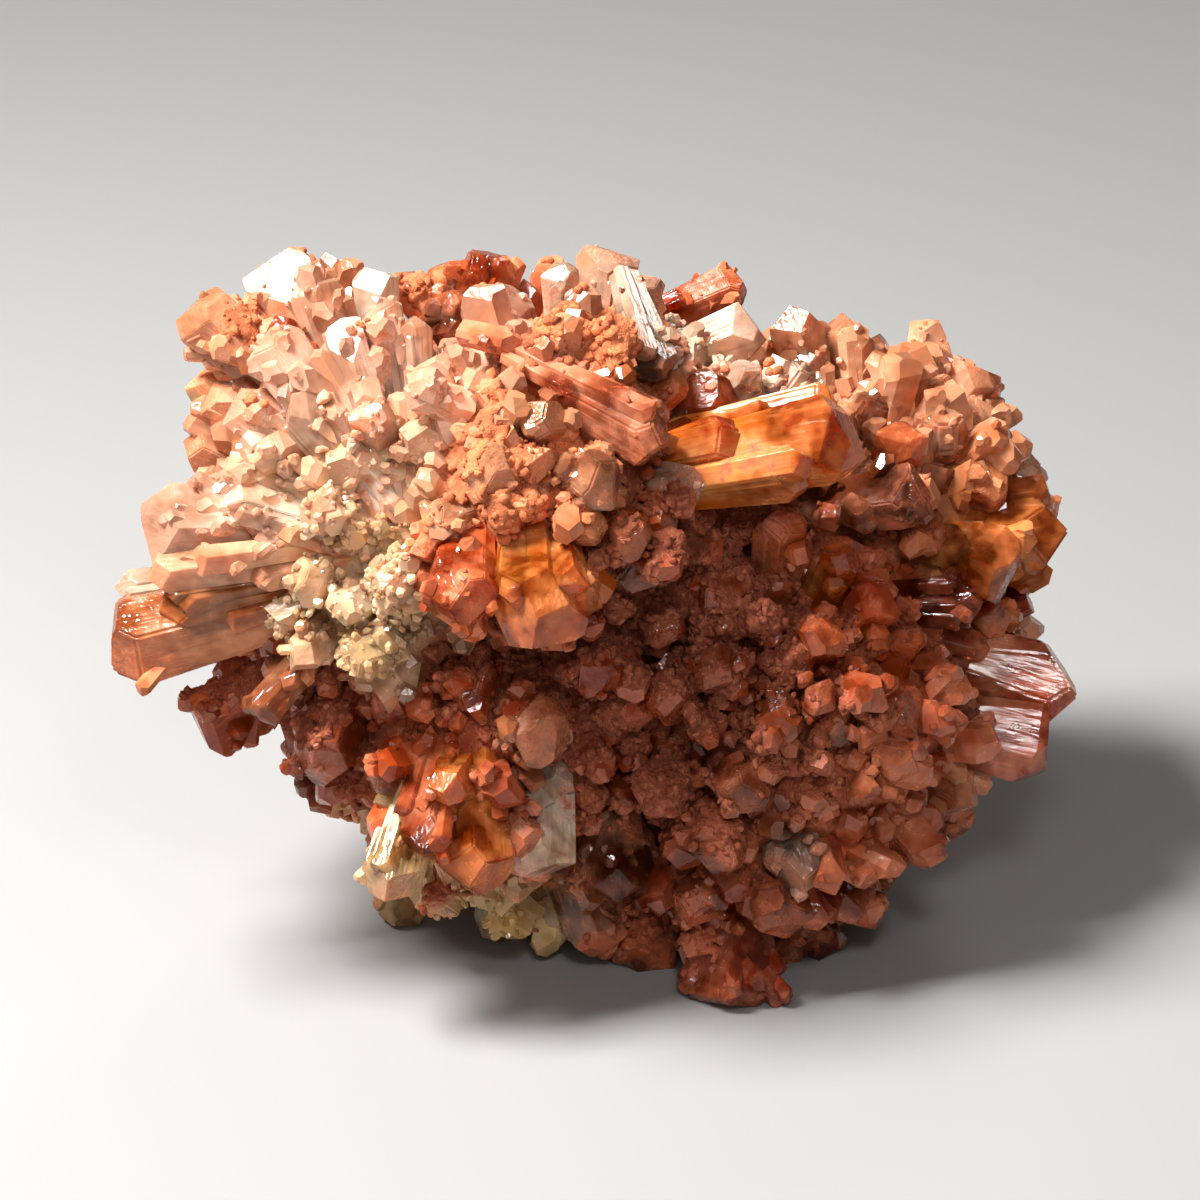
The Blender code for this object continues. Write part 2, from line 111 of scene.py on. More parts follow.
# %% Palette and patches
def linear(red, green, blue):
    """A display colour, 0 to 255, as the linear values that shaders use."""
    return tuple(
        value / 255 / 12.92 if value <= 10 else ((value / 255 + 0.055) / 1.055) ** 2.4
        for value in (red, green, blue)
    )


PALETTE = {
    "sugar": linear(248, 224, 186),
    "straw": linear(238, 214, 160),
    "pink": linear(243, 204, 178),
    "peach": linear(234, 176, 136),
    "salmon": linear(216, 128, 88),
    "tan": linear(200, 130, 86),
    "amber": linear(228, 132, 42),
    "orange": linear(208, 98, 42),
    "rust": linear(164, 70, 36),
    "red": linear(178, 56, 32),
    "brown": linear(134, 70, 42),
    "grey": linear(176, 150, 130),
    "honey": linear(202, 122, 62),
    "rose": linear(222, 140, 104),
    "glass": linear(240, 222, 200),
}
OXIDE = {
    "orange": linear(214, 122, 76),
    "rust": linear(176, 86, 56),
    "brown": linear(134, 66, 46),
}

CLEAN = ("amber", "glass", "straw", "honey", "rose")

Patch = namedtuple("Patch", "place reach colour coat oxide")
PATCHES = [
    Patch((-9.4, 3.6, 6.0), 3.2, "sugar", 0.06, "orange"),
    Patch((-11.4, 0.2, 6.0), 2.8, "sugar", 0.06, "orange"),
    Patch((-8.4, -0.8, 7.5), 2.2, "sugar", 0.10, "orange"),
    Patch((-9.0, 8.8, 5.0), 4.0, "pink", 0.10, "orange"),
    Patch((-13.8, 12.8, 1.0), 3.0, "peach", 0.36, "orange"),
    Patch((-15.6, 7.0, 1.0), 2.6, "peach", 0.30, "orange"),
    Patch((-15.0, 2.2, 4.0), 3.0, "pink", 0.10, "orange"),
    Patch((-17.0, -2.4, 3.0), 3.2, "orange", 0.30, "rust"),
    Patch((-13.0, -5.0, 2.0), 3.0, "rust", 0.45, "brown"),
    Patch((-4.4, 6.6, 9.0), 3.2, "peach", 0.52, "orange"),
    Patch((-4.6, 2.6, 9.0), 2.6, "peach", 0.52, "orange"),
    Patch((0.8, 10.8, 3.0), 2.6, "tan", 0.62, "orange"),
    Patch((-1.6, -0.6, 10.0), 2.8, "amber", 0.30, "orange"),
    Patch((4.8, 10.8, -1.0), 3.0, "glass", 0.25, "orange"),
    Patch((-5.2, 12.8, 0.0), 2.6, "orange", 0.40, "orange"),
    Patch((6.4, 6.4, 5.0), 3.0, "amber", 0.12, "rust"),
    Patch((13.0, 7.2, -6.0), 4.6, "peach", 0.10, "orange"),
    Patch((16.4, 2.8, -5.0), 3.0, "amber", 0.10, "rust"),
    Patch((16.6, -3.4, -4.0), 3.4, "salmon", 0.10, "rust"),
    Patch((4.6, 0.4, 3.0), 4.8, "rust", 0.62, "brown"),
    Patch((11.0, 1.6, 1.0), 3.4, "orange", 0.50, "rust"),
    Patch((0.6, -4.0, 5.0), 4.2, "rust", 0.62, "brown"),
    Patch((6.0, -7.0, 3.0), 3.6, "brown", 0.50, "brown"),
    Patch((10.6, -9.0, 0.0), 4.0, "salmon", 0.20, "rust"),
    Patch((4.0, -13.0, 0.0), 4.0, "rust", 0.30, "rust"),
    Patch((-6.4, -9.0, 5.0), 3.2, "orange", 0.25, "rust"),
    Patch((-2.4, -9.0, 4.0), 2.2, "grey", 0.45, "rust"),
    Patch((-6.0, -13.0, -5.0), 3.6, "straw", 0.30, "rust"),
    Patch((0.0, 0.0, -16.0), 9.0, "salmon", 0.35, "orange"),
    Patch((10.0, 2.0, -16.0), 7.0, "peach", 0.30, "orange"),
    Patch((-9.0, 4.0, -9.0), 6.0, "tan", 0.45, "orange"),
]
PATCH_PLACES = np.array([tuple(spot(*patch.place)) for patch in PATCHES])
PATCH_REACH = np.array([patch.reach for patch in PATCHES])
PATCH_TRAITS = np.array(
    [(*PALETTE[patch.colour], patch.coat, *OXIDE[patch.oxide]) for patch in PATCHES]
)


PATCH_EDGE = 1.4  # how fast a patch fades past its reach


def traits_at(places):
    """Crystal colour, coat and oxide colour (3 + 1 + 3 columns) at places in millimetres."""
    places = np.asarray(places, float).reshape(-1, 3)
    away = np.linalg.norm(places[:, None, :] - PATCH_PLACES[None], axis=2) / PATCH_REACH
    weight = np.exp(-(away**2) * PATCH_EDGE) + 1e-6 / (1 + away**4)
    return weight @ PATCH_TRAITS / weight.sum(axis=1, keepdims=True)


print(len(PATCHES), "patches, coat at the middle of the hollow:", traits_at([spot(4, 0, 3)])[0, 3].round(2))

# %% [markdown]
# Finishes
#
# Creedite is a soft, glassy mineral: light goes in, is scattered by veils and tiny cracks, and comes
# out orange. So its finish has three parts: plain transmission with the mineral's own index of
# refraction and an absorbing inside, which colours the thick parts more than the thin ones, a share of
# scattering under the surface for the milky look, and a sharp gloss. The roots are milky, and so are
# the stained crystals. Iron reddens the tips, and dust of oxide settles in grains on the coated ones.
# The oxide itself is earthy: matte, rough and granular.
# Everything comes from noise on the place in the object and from the traits that each crystal carries,
# so nothing depends on the view. The orange prisms and the pale ones of the left lobe differ in what
# they absorb. The small crystals have a plainer finish, without growth lines or an absorbing inside,
# because both would be too fine to see, and the sugary grains are the least clear.

# %% Helper for materials
class Nodes:
    """A node tree, built one node at a time."""

    def node(self, kind, settings=None, **inputs):
        made = self.tree.nodes.new(kind)
        for key, value in (settings or {}).items():
            setattr(made, key, value)
        for label, value in inputs.items():
            self.set(made, label, value)
        return made

    def set(self, node, label, value):
        """Sets or links an input; i0, i1 and so on mean an input by its number."""
        label = label.replace("_", " ")
        number = label[1:] if label[0] == "i" else ""
        socket = node.inputs[int(number)] if number.isdigit() else node.inputs[label]
        if isinstance(value, bpy.types.NodeSocket):
            self.tree.links.new(value, socket)
        else:
            socket.default_value = value

    def math(self, operation, *values):
        made = self.node("ShaderNodeMath", {"operation": operation})
        for number, value in enumerate(values):
            self.set(made, f"i{number}", value)
        return made.outputs[0]

    def ramp(self, value, low, high, to_low=0.0, to_high=1.0):
        made = self.node("ShaderNodeMapRange", Value=value)
        given = {"From Min": low, "From Max": high, "To Min": to_low, "To Max": to_high}
        for label, number in given.items():
            made.inputs[label].default_value = number
        return made.outputs[0]


class Shader(Nodes):
    """A material with one Principled shader."""

    def __init__(self, name):
        self.material = bpy.data.materials.new(name)
        self.material.use_nodes = True
        self.tree = self.material.node_tree
        self.principled = self.tree.nodes["Principled BSDF"]

    def attribute(self, label, output="Fac"):
        return self.node("ShaderNodeAttribute", {"attribute_name": label}).outputs[output]

    def mix(self, share, first, second, blend="MIX"):
        made = self.node("ShaderNodeMix", {"data_type": "RGBA", "blend_type": blend})
        self.set(made, "i0", share)
        self.set(made, "i6", first)
        self.set(made, "i7", second)
        return made.outputs[2]

    def noise(self, vector, scale, detail=2.0, roughness=0.5):
        made = self.node("ShaderNodeTexNoise", Scale=scale, Detail=detail, Roughness=roughness)
        self.set(made, "Vector", vector)
        return made.outputs[0]


# %% Finish of the crystals
ABSORBED_PER_METRE = 400
CREEDITE_IOR = 1.46
TIP_STAIN = 0.6  # how much of the iron's orange the tips take
MILKY_BELOW, CLEAR_ABOVE = 0.4, 0.7  # along a crystal, 0 at its root and 1 at its tip


def creedite_finish(name, clearness, glow_mm=None, growth_lines=False, absorbed=None):
    """clearness is the greatest share that goes straight through, glow_mm how far light spreads."""
    made = Shader(name)
    shader = made.principled
    place = made.node("ShaderNodeTexCoord").outputs["Object"]
    coat = made.attribute("coat")
    shade = made.ramp(made.attribute("tint"), 0, 1, 0.74, 1.12)
    grey = made.node("ShaderNodeCombineColor", Red=shade, Green=shade, Blue=shade)
    toned = made.mix(1.0, made.attribute("crystal_colour", "Color"), grey.outputs[0], "MULTIPLY")
    noise = made.noise(place, 420, 3, 0.65)
    grain = made.noise(place, 3000, 2, 0.7)
    veil = made.ramp(noise, 0.40, 0.60)
    warm = made.mix(1.0, toned, (1.0, 0.92, 0.84, 1), "MULTIPLY")
    deep = made.mix(0.45, warm, toned, "MULTIPLY")
    milky = made.mix(0.10, toned, (*PALETTE["glass"], 1))
    at_tip = made.ramp(made.attribute("along"), 0.7, 1.0, 0, TIP_STAIN)
    redder = made.math("MULTIPLY", at_tip, made.ramp(noise, 0.36, 0.6))
    body = made.mix(redder, made.mix(veil, deep, milky), (*PALETTE["orange"], 1))
    patchy = made.math("MULTIPLY_ADD", grain, 0.4, made.math("MULTIPLY_ADD", coat, 0.34, noise))
    dust = made.ramp(patchy, 0.84, 1.02)
    made.set(shader, "Base Color", made.mix(dust, body, made.attribute("oxide_colour", "Color")))
    milky_root = made.ramp(made.attribute("along"), MILKY_BELOW, CLEAR_ABOVE)
    stained = made.ramp(coat, 0.25, 0.65, 1, 0.3)
    clear = made.ramp(veil, 0, 1, clearness, clearness * 0.45)
    through = made.math("MULTIPLY", clear, made.math("MULTIPLY", milky_root, stained))
    made.set(shader, "Transmission Weight", made.math("MULTIPLY", through, made.ramp(dust, 0, 1, 1, 0)))
    made.set(shader, "Roughness", made.math("MULTIPLY_ADD", dust, 0.6, made.ramp(veil, 0, 1, 0.06, 0.22)))
    shader.inputs["IOR"].default_value = CREEDITE_IOR
    if glow_mm:
        made.set(shader, "Subsurface Weight", made.ramp(coat, 0.2, 0.45, 0.5, 0))
        shader.inputs["Subsurface Radius"].default_value = [reach * MM for reach in glow_mm]
        shader.inputs["Subsurface Scale"].default_value = 1.0
    height = made.math("MULTIPLY", grain, made.ramp(coat, 0, 0.7, 0.12, 0.7))
    if growth_lines:
        stretched = made.node("ShaderNodeMapping", Vector=made.attribute("grow", "Vector"))
        stretched.inputs["Scale"].default_value = (1.0, 1.0, 0.10)
        lines = made.noise(stretched.outputs[0], 5.0, 1, 0.6)
        height = made.math("MULTIPLY_ADD", lines, 0.8, height)
    bump = made.node("ShaderNodeBump", Height=height)
    bump.inputs["Strength"].default_value = 0.6
    bump.inputs["Distance"].default_value = 0.1 * MM
    made.set(shader, "Normal", bump.outputs[0])
    if absorbed:
        absorption = made.node("ShaderNodeVolumeAbsorption")
        absorption.inputs["Color"].default_value = (*absorbed, 1)
        absorption.inputs["Density"].default_value = ABSORBED_PER_METRE
        output = made.tree.nodes["Material Output"]
        made.tree.links.new(absorption.outputs[0], output.inputs["Volume"])
    return made.material


orange_creedite = creedite_finish("orange_creedite", 0.85, (0.8, 0.40, 0.22), True, (0.96, 0.52, 0.16))
pale_creedite = creedite_finish("pale_creedite", 0.65, (0.6, 0.45, 0.35), True, (0.98, 0.78, 0.56))
fine_creedite = creedite_finish("fine_creedite", 0.6)
sugar_creedite = creedite_finish("sugar_creedite", 0.6, (0.3, 0.25, 0.18))

# %% Finish of the oxide
def oxide_finish():
    made = Shader("iron_oxide")
    place = made.node("ShaderNodeTexCoord").outputs["Object"]
    base = made.attribute("oxide_colour", "Color")
    patch = made.ramp(made.noise(place, 600, 3, 0.6), 0.38, 0.62)
    grain = made.noise(place, 4200, 3, 0.75)
    speckled = made.mix(made.ramp(grain, 0.48, 0.70, 0.0, 0.55), base, (*linear(232, 152, 104), 1))
    stained = made.mix(made.math("MULTIPLY", patch, 0.55), speckled, (*linear(116, 50, 32), 1))
    made.set(made.principled, "Base Color", stained)
    made.principled.inputs["Roughness"].default_value = 0.9
    made.principled.inputs["Specular IOR Level"].default_value = 0.25
    bump = made.node("ShaderNodeBump", Height=grain)
    bump.inputs["Strength"].default_value = 0.9
    bump.inputs["Distance"].default_value = 0.16 * MM
    made.set(made.principled, "Normal", bump.outputs[0])
    return made.material


iron_oxide = oxide_finish()
for finish in (orange_creedite, pale_creedite, fine_creedite, sugar_creedite, iron_oxide):
    print("finish:", finish.name)

# %% [markdown]
# The list of crystals
#
# These are the same crystals as in the solid: tip, width at the shoulder in millimetres, the habit
# of the end, and the root where it isn't the spray's middle. A colour name is for crystals
# that differ from the patch round them, such as the big amber prism. `shine` is a place where a flat
# facet is turned just so that it mirrors the lamp, and `turn` turns a prism on its axis, in degrees.

# %% Crystals of the display side
Crystal = namedtuple(
    "Crystal", "tip width habit root colour shine turn", defaults=("chisel", None, None, None, 0)
)
Spray = namedtuple("Spray", "name centre core reach fill_width fill_count fill_facing crystals")

LEFT_SPRAY = Spray(
    "left", (-8.0, 2.2, -1.0), (7.6, 6.4, 7.6), 10.2, 2.8, 90, 0.35,
    [
        Crystal((-19.5, -1.9, 3.0), 3.5, "blunt", (-10.0, 0.6, 3.0), "honey"),
        Crystal((-17.6, -0.5, 3.8), 2.6, "chisel", (-9.4, 1.0, 3.4), "honey"),
        Crystal((-19.4, 0.5, -0.5), 1.3, "chisel", None, "glass"),
        Crystal((-18.2, 2.8, 4.0), 3.5, "blunt", (-8.6, 3.0, 3.6)),
        Crystal((-18.0, 0.9, 4.4), 2.5, "chisel", (-9.0, 2.4, 4.4), "peach"),
        Crystal((-16.7, 3.9, 2.6), 1.9, "chisel", (-8.6, 3.4, 2.0)),
        Crystal((-16.0, 4.9, 1.8), 1.4),
        Crystal((-16.7, 6.4, 0.8), 1.9, "point", None, "peach"),
        Crystal((-16.4, 7.9, 1.0), 1.3),
        Crystal((-16.2, 8.9, 0.0), 1.6, "blunt", None, "straw"),
        Crystal((-16.4, 11.7, 1.6), 2.7, "blunt", (-8.0, 5.0, 0.5)),
        Crystal((-12.9, 13.8, 0.6), 3.0, "blunt", (-9.0, 2.0, 0.0), None, (-11.9, 13.0, 1.3)),
        Crystal((-11.6, 12.8, 3.0), 2.0, "blunt", (-8.2, 3.0, 2.2)),
        Crystal((-13.0, 11.4, 3.8), 1.3, "point", None, "salmon"),
        Crystal((-11.0, 13.9, -1.4), 1.6, "chisel"),
        Crystal((-9.0, 13.2, 0.0), 1.9, "blunt", None, "glass", (-9.0, 12.4, 0.6)),
        Crystal((-13.4, 10.6, 4.8), 2.4, "blunt", (-8.2, 3.6, 5.0)),
        Crystal((-10.4, 11.3, 5.0), 1.5, "blunt", (-8.0, 4.0, 5.2), None, (-9.6, 9.5, 5.8)),
        Crystal((-8.8, 12.1, 3.8), 1.7, "chisel", (-7.4, 4.0, 4.2)),
        Crystal((-7.4, 11.4, 4.2), 1.3, "chisel", (-7.0, 4.0, 4.6)),
        Crystal((-14.6, 8.0, 3.8), 1.9, "blunt", (-8.2, 3.0, 4.2)),
        Crystal((-13.8, 5.6, 5.2), 1.8, "chisel", (-8.0, 2.4, 4.6)),
        Crystal((-12.4, 8.2, 6.0), 1.7, "chisel", (-8.0, 3.0, 5.0)),
        Crystal((-15.0, 4.2, 5.2), 1.9, "chisel", (-8.0, 2.2, 4.8)),
        Crystal((-9.2, 7.6, 7.2), 1.7, "blunt"),
        Crystal((-11.4, 3.6, 7.4), 1.8, "blunt"),
        Crystal((-12.0, 0.6, 6.6), 1.9, "chisel"),
        Crystal((-8.2, 0.6, 8.0), 2.0, "blunt"),
        Crystal((-9.6, -2.8, 6.8), 2.2, "chisel"),
        Crystal((-12.2, -2.6, 5.4), 1.6, "point"),
        Crystal((-15.9, -5.4, 0.6), 2.7, "blunt", (-10.0, 0.0, -0.5)),
        Crystal((-13.7, -4.7, 3.8), 1.6, "blunt", (-9.4, 0.4, 2.0), "tan"),
        Crystal((-12.4, -6.2, -0.6), 2.0, "chisel", None, "brown"),
        Crystal((-11.3, -8.5, -3.0), 1.1, "blunt", (-8.6, 0.0, -3.0), "brown"),
    ],
)

BROW_SPRAY = Spray(
    "brow", (-2.6, 4.4, 2.6), (6.2, 5.4, 5.8), 7.6, 2.3, 60, 1.1,
    [
        Crystal((2.7, 6.2, 8.6), 2.5, "chisel", (-3.6, 9.6, 6.0), "salmon"),
        Crystal((0.2, 4.8, 10.0), 2.4, "blunt", None, "peach"),
        Crystal((-5.8, -0.7, 10.4), 3.1, "chisel", (-5.4, 4.0, 4.6), "orange", None, 35),
        Crystal((-2.6, -1.3, 10.6), 3.9, "chisel", (-2.6, 4.4, 4.0), "amber", None, -20),
        Crystal((-0.5, -0.4, 9.4), 1.7, "point"),
        Crystal((-4.6, 5.2, 9.8), 2.2, "blunt"),
        Crystal((-2.2, 7.6, 9.0), 2.0, "chisel"),
        Crystal((-5.6, 8.6, 7.0), 1.9, "chisel"),
        Crystal((1.6, 2.4, 8.8), 2.0, "blunt"),
        Crystal((-6.6, 3.0, 8.6), 1.8, "chisel"),
        Crystal((4.0, 4.4, 6.6), 1.6, "blunt", (-0.6, 5.6, 4.0), "pink"),
        Crystal((2.4, 1.0, 6.2), 2.7, "blunt", (0.0, 4.0, 2.0), "brown"),
    ],
)

TOP_SPRAY = Spray(
    "top", (-1.0, 3.2, -3.6), (8.4, 8.2, 8.2), 10.2, 2.8, 90, 1.1,
    [
        Crystal((-8.0, 13.1, -1.2), 1.8, "chisel"),
        Crystal((-6.4, 13.4, -2.0), 1.8, "blunt"),
        Crystal((-5.2, 14.0, -0.8), 2.6, "chisel", None, "orange"),
        Crystal((-6.4, 12.0, 2.4), 2.1, "blunt", None, "brown"),
        Crystal((-4.0, 12.5, 1.8), 2.2, "chisel", None, "pink"),
        Crystal((-3.0, 12.8, -1.8), 1.8, "chisel"),
        Crystal((-1.6, 13.4, 1.0), 1.5, "blunt", None, "glass", (-1.7, 12.4, 1.4)),
        Crystal((0.3, 14.0, -1.6), 2.5, "blunt", None, "pink"),
        Crystal((1.8, 12.9, 0.2), 1.8, "blunt"),
        Crystal((-0.6, 11.4, 4.2), 2.0, "chisel"),
        Crystal((2.5, 9.0, 4.8), 1.6, "chisel", (1.0, 13.0, 0.0), "grey"),
        Crystal((5.7, 12.7, -4.8), 1.9, "blunt", (0.6, 10.6, -4.4), "orange"),
        Crystal((6.3, 10.9, -1.0), 2.3, "blunt", (0.4, 8.6, -2.0), "glass"),
        Crystal((5.0, 8.6, 2.6), 2.5, "blunt", None, "orange"),
        Crystal((6.4, 9.3, 1.4), 1.7, "chisel"),
        Crystal((8.6, 9.0, 0.4), 1.8, "chisel", (2.0, 6.0, -2.0)),
        Crystal((10.1, 6.6, 6.0), 3.7, "blunt", (1.6, 5.0, 3.8), "amber", None, 28),
        Crystal((9.4, 7.9, 4.0), 1.9, "blunt", (2.6, 6.6, 2.4), "amber"),
    ],
)

RIGHT_SPRAY = Spray(
    "right", (10.4, 2.6, -9.0), (7.0, 6.8, 6.8), 8.9, 2.7, 80, 1.1,
    [
        Crystal((7.6, 11.8, -6.2), 2.2, "point", None, "peach"),
        Crystal((9.8, 11.4, -7.0), 2.2, "chisel"),
        Crystal((11.2, 10.6, -8.2), 1.4, "chisel"),
        Crystal((12.6, 9.8, -7.0), 2.7, "blunt"),
        Crystal((15.4, 9.2, -8.2), 2.4, "blunt"),
        Crystal((16.2, 8.0, -8.0), 1.8, "chisel"),
        Crystal((16.9, 6.5, -8.2), 2.0, "chisel"),
        Crystal((17.5, 4.6, -8.0), 1.5, "point"),
        Crystal((18.7, 2.8, -4.6), 3.7, "chisel", (11.0, 2.6, -6.0), "amber"),
        Crystal((16.6, 1.4, -2.4), 3.2, "blunt", (10.4, 2.6, -5.0), "amber"),
        Crystal((17.4, -0.5, -7.2), 1.4, "point", None, "red"),
        Crystal((12.2, 6.6, -1.4), 2.1, "blunt", None, "orange"),
        Crystal((10.6, 8.2, -1.8), 1.9, "chisel"),
        Crystal((14.4, 7.2, -2.8), 2.3, "chisel"),
        Crystal((16.0, 4.8, -3.0), 2.1, "blunt"),
        Crystal((13.0, 4.2, 0.4), 2.6, "blunt", (7.0, 3.4, -3.0), "brown"),
        Crystal((15.3, -0.1, -1.2), 1.9, "chisel", (8.6, 0.0, -3.6), "rust"),
        Crystal((13.8, 9.0, -4.6), 2.0, "chisel"),
    ],
)

LOWER_RIGHT_SPRAY = Spray(
    "lower_right", (6.8, -4.2, -5.4), (8.0, 7.9, 7.8), 9.8, 2.8, 90, 1.1,
    [
        Crystal((19.1, -3.7, -4.6), 3.5, "chisel", (9.6, -1.2, -5.4), "rose", (16.7, -2.6, -3.9)),
        Crystal((17.9, -5.8, -3.8), 3.4, "blunt", (9.4, -4.0, -4.4), "rose", (16.5, -5.0, -3.0)),
        Crystal((15.0, -8.2, -3.0), 2.3, "chisel", (9.0, -4.8, -4.6), "peach"),
        Crystal((13.2, -9.2, -4.0), 2.3, "blunt"),
        Crystal((11.5, -10.3, -2.2), 1.7, "chisel"),
        Crystal((10.7, -11.4, -2.2), 1.5, "point"),
        Crystal((10.2, -13.0, -2.4), 1.9, "chisel"),
        Crystal((8.8, -14.5, -4.9), 2.1, "chisel", (7.4, -6.0, -5.0)),
        Crystal((5.4, -16.4, -1.4), 3.4, "blunt", (5.0, -7.0, -3.6)),
        Crystal((1.6, -14.9, -4.2), 2.6, "blunt", (3.0, -6.0, -4.6)),
        Crystal((7.2, -13.2, 0.2), 2.7, "blunt"),
        Crystal((3.6, -13.0, 0.2), 2.6, "chisel"),
        Crystal((7.4, 3.3, 3.6), 1.9, "blunt", (6.6, -2.0, -2.0), "orange"),
        Crystal((9.9, 2.0, 3.0), 1.6, "chisel", None, "amber"),
        Crystal((4.8, 0.7, 4.4), 2.2, "blunt"),
        Crystal((9.1, -1.4, 4.0), 1.9, "blunt", None, "orange"),
        Crystal((11.4, 0.2, 2.2), 2.1, "blunt"),
        Crystal((6.6, -0.4, 4.4), 1.6, "chisel"),
        Crystal((12.2, -2.2, 0.8), 1.9, "chisel"),
        Crystal((7.2, -4.4, 4.0), 1.8, "blunt"),
        Crystal((4.4, -2.6, 4.6), 1.9, "blunt"),
        Crystal((2.4, -3.8, 4.6), 1.8, "blunt"),
        Crystal((9.8, -5.0, 3.0), 1.8, "chisel"),
        Crystal((11.4, -7.0, 0.8), 2.3, "chisel"),
        Crystal((12.8, -6.2, -0.6), 2.2, "blunt"),
        Crystal((9.0, -9.2, 1.2), 2.2, "chisel"),
        Crystal((5.6, -7.8, 3.6), 2.4, "blunt"),
        Crystal((4.6, -10.6, 3.0), 2.2, "blunt"),
        Crystal((8.2, -11.4, 1.4), 2.4, "chisel", None, "grey"),
        Crystal((2.0, -8.0, 3.6), 2.2, "blunt"),
    ],
)

LOWER_LEFT_SPRAY = Spray(
    "lower_left", (-4.0, -4.6, -2.6), (6.6, 6.4, 6.6), 8.5, 2.5, 64, 1.1,
    [
        Crystal((-8.6, -12.1, 4.2), 2.4, "point", (-6.6, -5.0, 1.0), "straw"),
        Crystal((-5.0, -11.7, 4.6), 3.1, "chisel", (-5.2, -4.0, 1.0), "amber"),
        Crystal((-7.0, -10.2, 5.4), 2.1, "chisel", (-5.8, -4.4, 1.8), "orange"),
        Crystal((-6.3, -7.7, 6.2), 1.6, "point", None, "amber"),
        Crystal((-8.9, -7.4, 3.4), 1.4, "blunt", None, "peach"),
        Crystal((-2.4, -10.9, 3.4), 2.6, "blunt", (-2.0, -4.0, 0.4), "glass"),
        Crystal((-2.2, -5.3, 6.4), 2.8, "blunt", None, "tan"),
        Crystal((0.0, -3.0, 5.8), 2.0, "blunt", (-1.0, -2.0, 0.0)),
        Crystal((-8.1, -13.1, -7.6), 1.9, "blunt", (-5.0, -5.0, -5.0), "straw"),
        Crystal((-6.6, -12.6, -1.6), 1.8, "blunt"),
        Crystal((-4.0, -13.7, -6.4), 2.2, "blunt", (-3.6, -5.0, -4.6), "straw"),
        Crystal((-1.6, -13.8, -4.6), 2.0, "chisel"),
        Crystal((0.2, -14.0, -3.2), 2.2, "blunt"),
        Crystal((0.8, -12.2, 1.0), 2.4, "chisel", (0.0, -5.0, -2.0), "brown"),
        Crystal((-10.4, -5.0, -4.0), 2.0, "chisel"),
    ],
)

BACK_SPRAY = Spray(
    "back", (-1.4, -0.6, -10.0), (8.2, 8.2, 7.6), 10.3, 3.0, 90, 1.1,
    [
        Crystal((8.0, -10.1, -13.2), 2.6, "blunt", (4.0, -3.0, -9.6)),
        Crystal((-5.6, -9.5, -14.6), 2.6, "blunt", (-2.0, -3.0, -10.0)),
        Crystal((1.6, -8.8, -16.2), 2.6, "blunt", (0.6, -3.0, -10.6)),
    ],
)

SPRAYS = (
    LEFT_SPRAY,
    BROW_SPRAY,
    TOP_SPRAY,
    RIGHT_SPRAY,
    LOWER_RIGHT_SPRAY,
    LOWER_LEFT_SPRAY,
    BACK_SPRAY,
)
print(sum(len(spray.crystals) for spray in SPRAYS), "crystals named,", len(SPRAYS), "sprays")

# %% [markdown]
# Crystals by rule
#
# The sides and the back aren't seen in one picture, so they are filled by rule: directions spread
# evenly over each spray along a golden spiral, with some jitter, and a crystal wherever its tip is
# clear of the others. The seed and the order of the draws are those of the solid, so that the two
# carry the same crystals.

# %% Fill crystals
SEED = 11
TIP_SPACING = 0.96
CORE_CLEARANCE = 1.08
OUTLINE_SHARE = 0.93
DISPLAY_SIDE = 0.3
DISPLAY_SHARE = 0.74
DISPLAY_REACH = 0.93
FOOT_ROOM = 1.9
FILL_WOBBLE = 0.16
FILL_WIDTHS = (0.75, 1.25)
FILL_REACHES = (0.92, 1.08)
FILL_ROOT = 0.6
ROOT_DEPTH = 0.25  # where a named crystal starts, from the spray's middle to its tip

Placed = namedtuple("Placed", "root tip width habit side colour spray shine", defaults=(None,))


def even_directions(count):
    """Directions spread evenly over a sphere, along a golden spiral."""
    golden = math.pi * (3 - math.sqrt(5))
    for number in range(count):
        height = 1 - 2 * (number + 0.5) / count
        radius = math.sqrt(1 - height * height)
        yield Vector((radius * math.cos(golden * number), radius * math.sin(golden * number), height))


def buried(tip, own):
    """True where a tip would be inside another spray's middle."""
    for other in SPRAYS:
        if other is own:
            continue
        away = tip - spot(*other.centre)
        share = math.sqrt(sum((part / size) ** 2 for part, size in zip(away, other.core)))
        if share < CORE_CLEARANCE:
            return True
    return False


def fill_crystals(spray, taken, rng):
    centre = spot(*spray.centre)
    made = []
    for direction in even_directions(spray.fill_count):
        jitter = Vector([rng.uniform(-FILL_WOBBLE, FILL_WOBBLE) for _ in range(3)])
        direction = (direction + jitter).normalized()
        width = spray.fill_width * rng.uniform(*FILL_WIDTHS)
        facing = direction.dot(TOWARDS_VIEWER)
        reach = spray.reach * rng.uniform(*FILL_REACHES)
        reach *= 1 - (1 - OUTLINE_SHARE) * math.sqrt(max(0.0, 1 - facing * facing))
        if facing > DISPLAY_SIDE:
            width *= DISPLAY_SHARE
            reach *= DISPLAY_REACH
        tip = centre + direction * reach
        habit = rng.choice(("wedge", "stub"))
        side = Vector([rng.uniform(-1, 1) for _ in range(3)])
        if tip.z < FOOT_ROOM or buried(tip, spray) or facing > spray.fill_facing:
            continue
        if any((tip - other).length < TIP_SPACING * width for other in taken):
            continue
        taken.append(tip)
        root = centre + direction * min(spray.core) * FILL_ROOT
        made.append(Placed(root, tip, width, habit, side, None, spray.name))
    return made


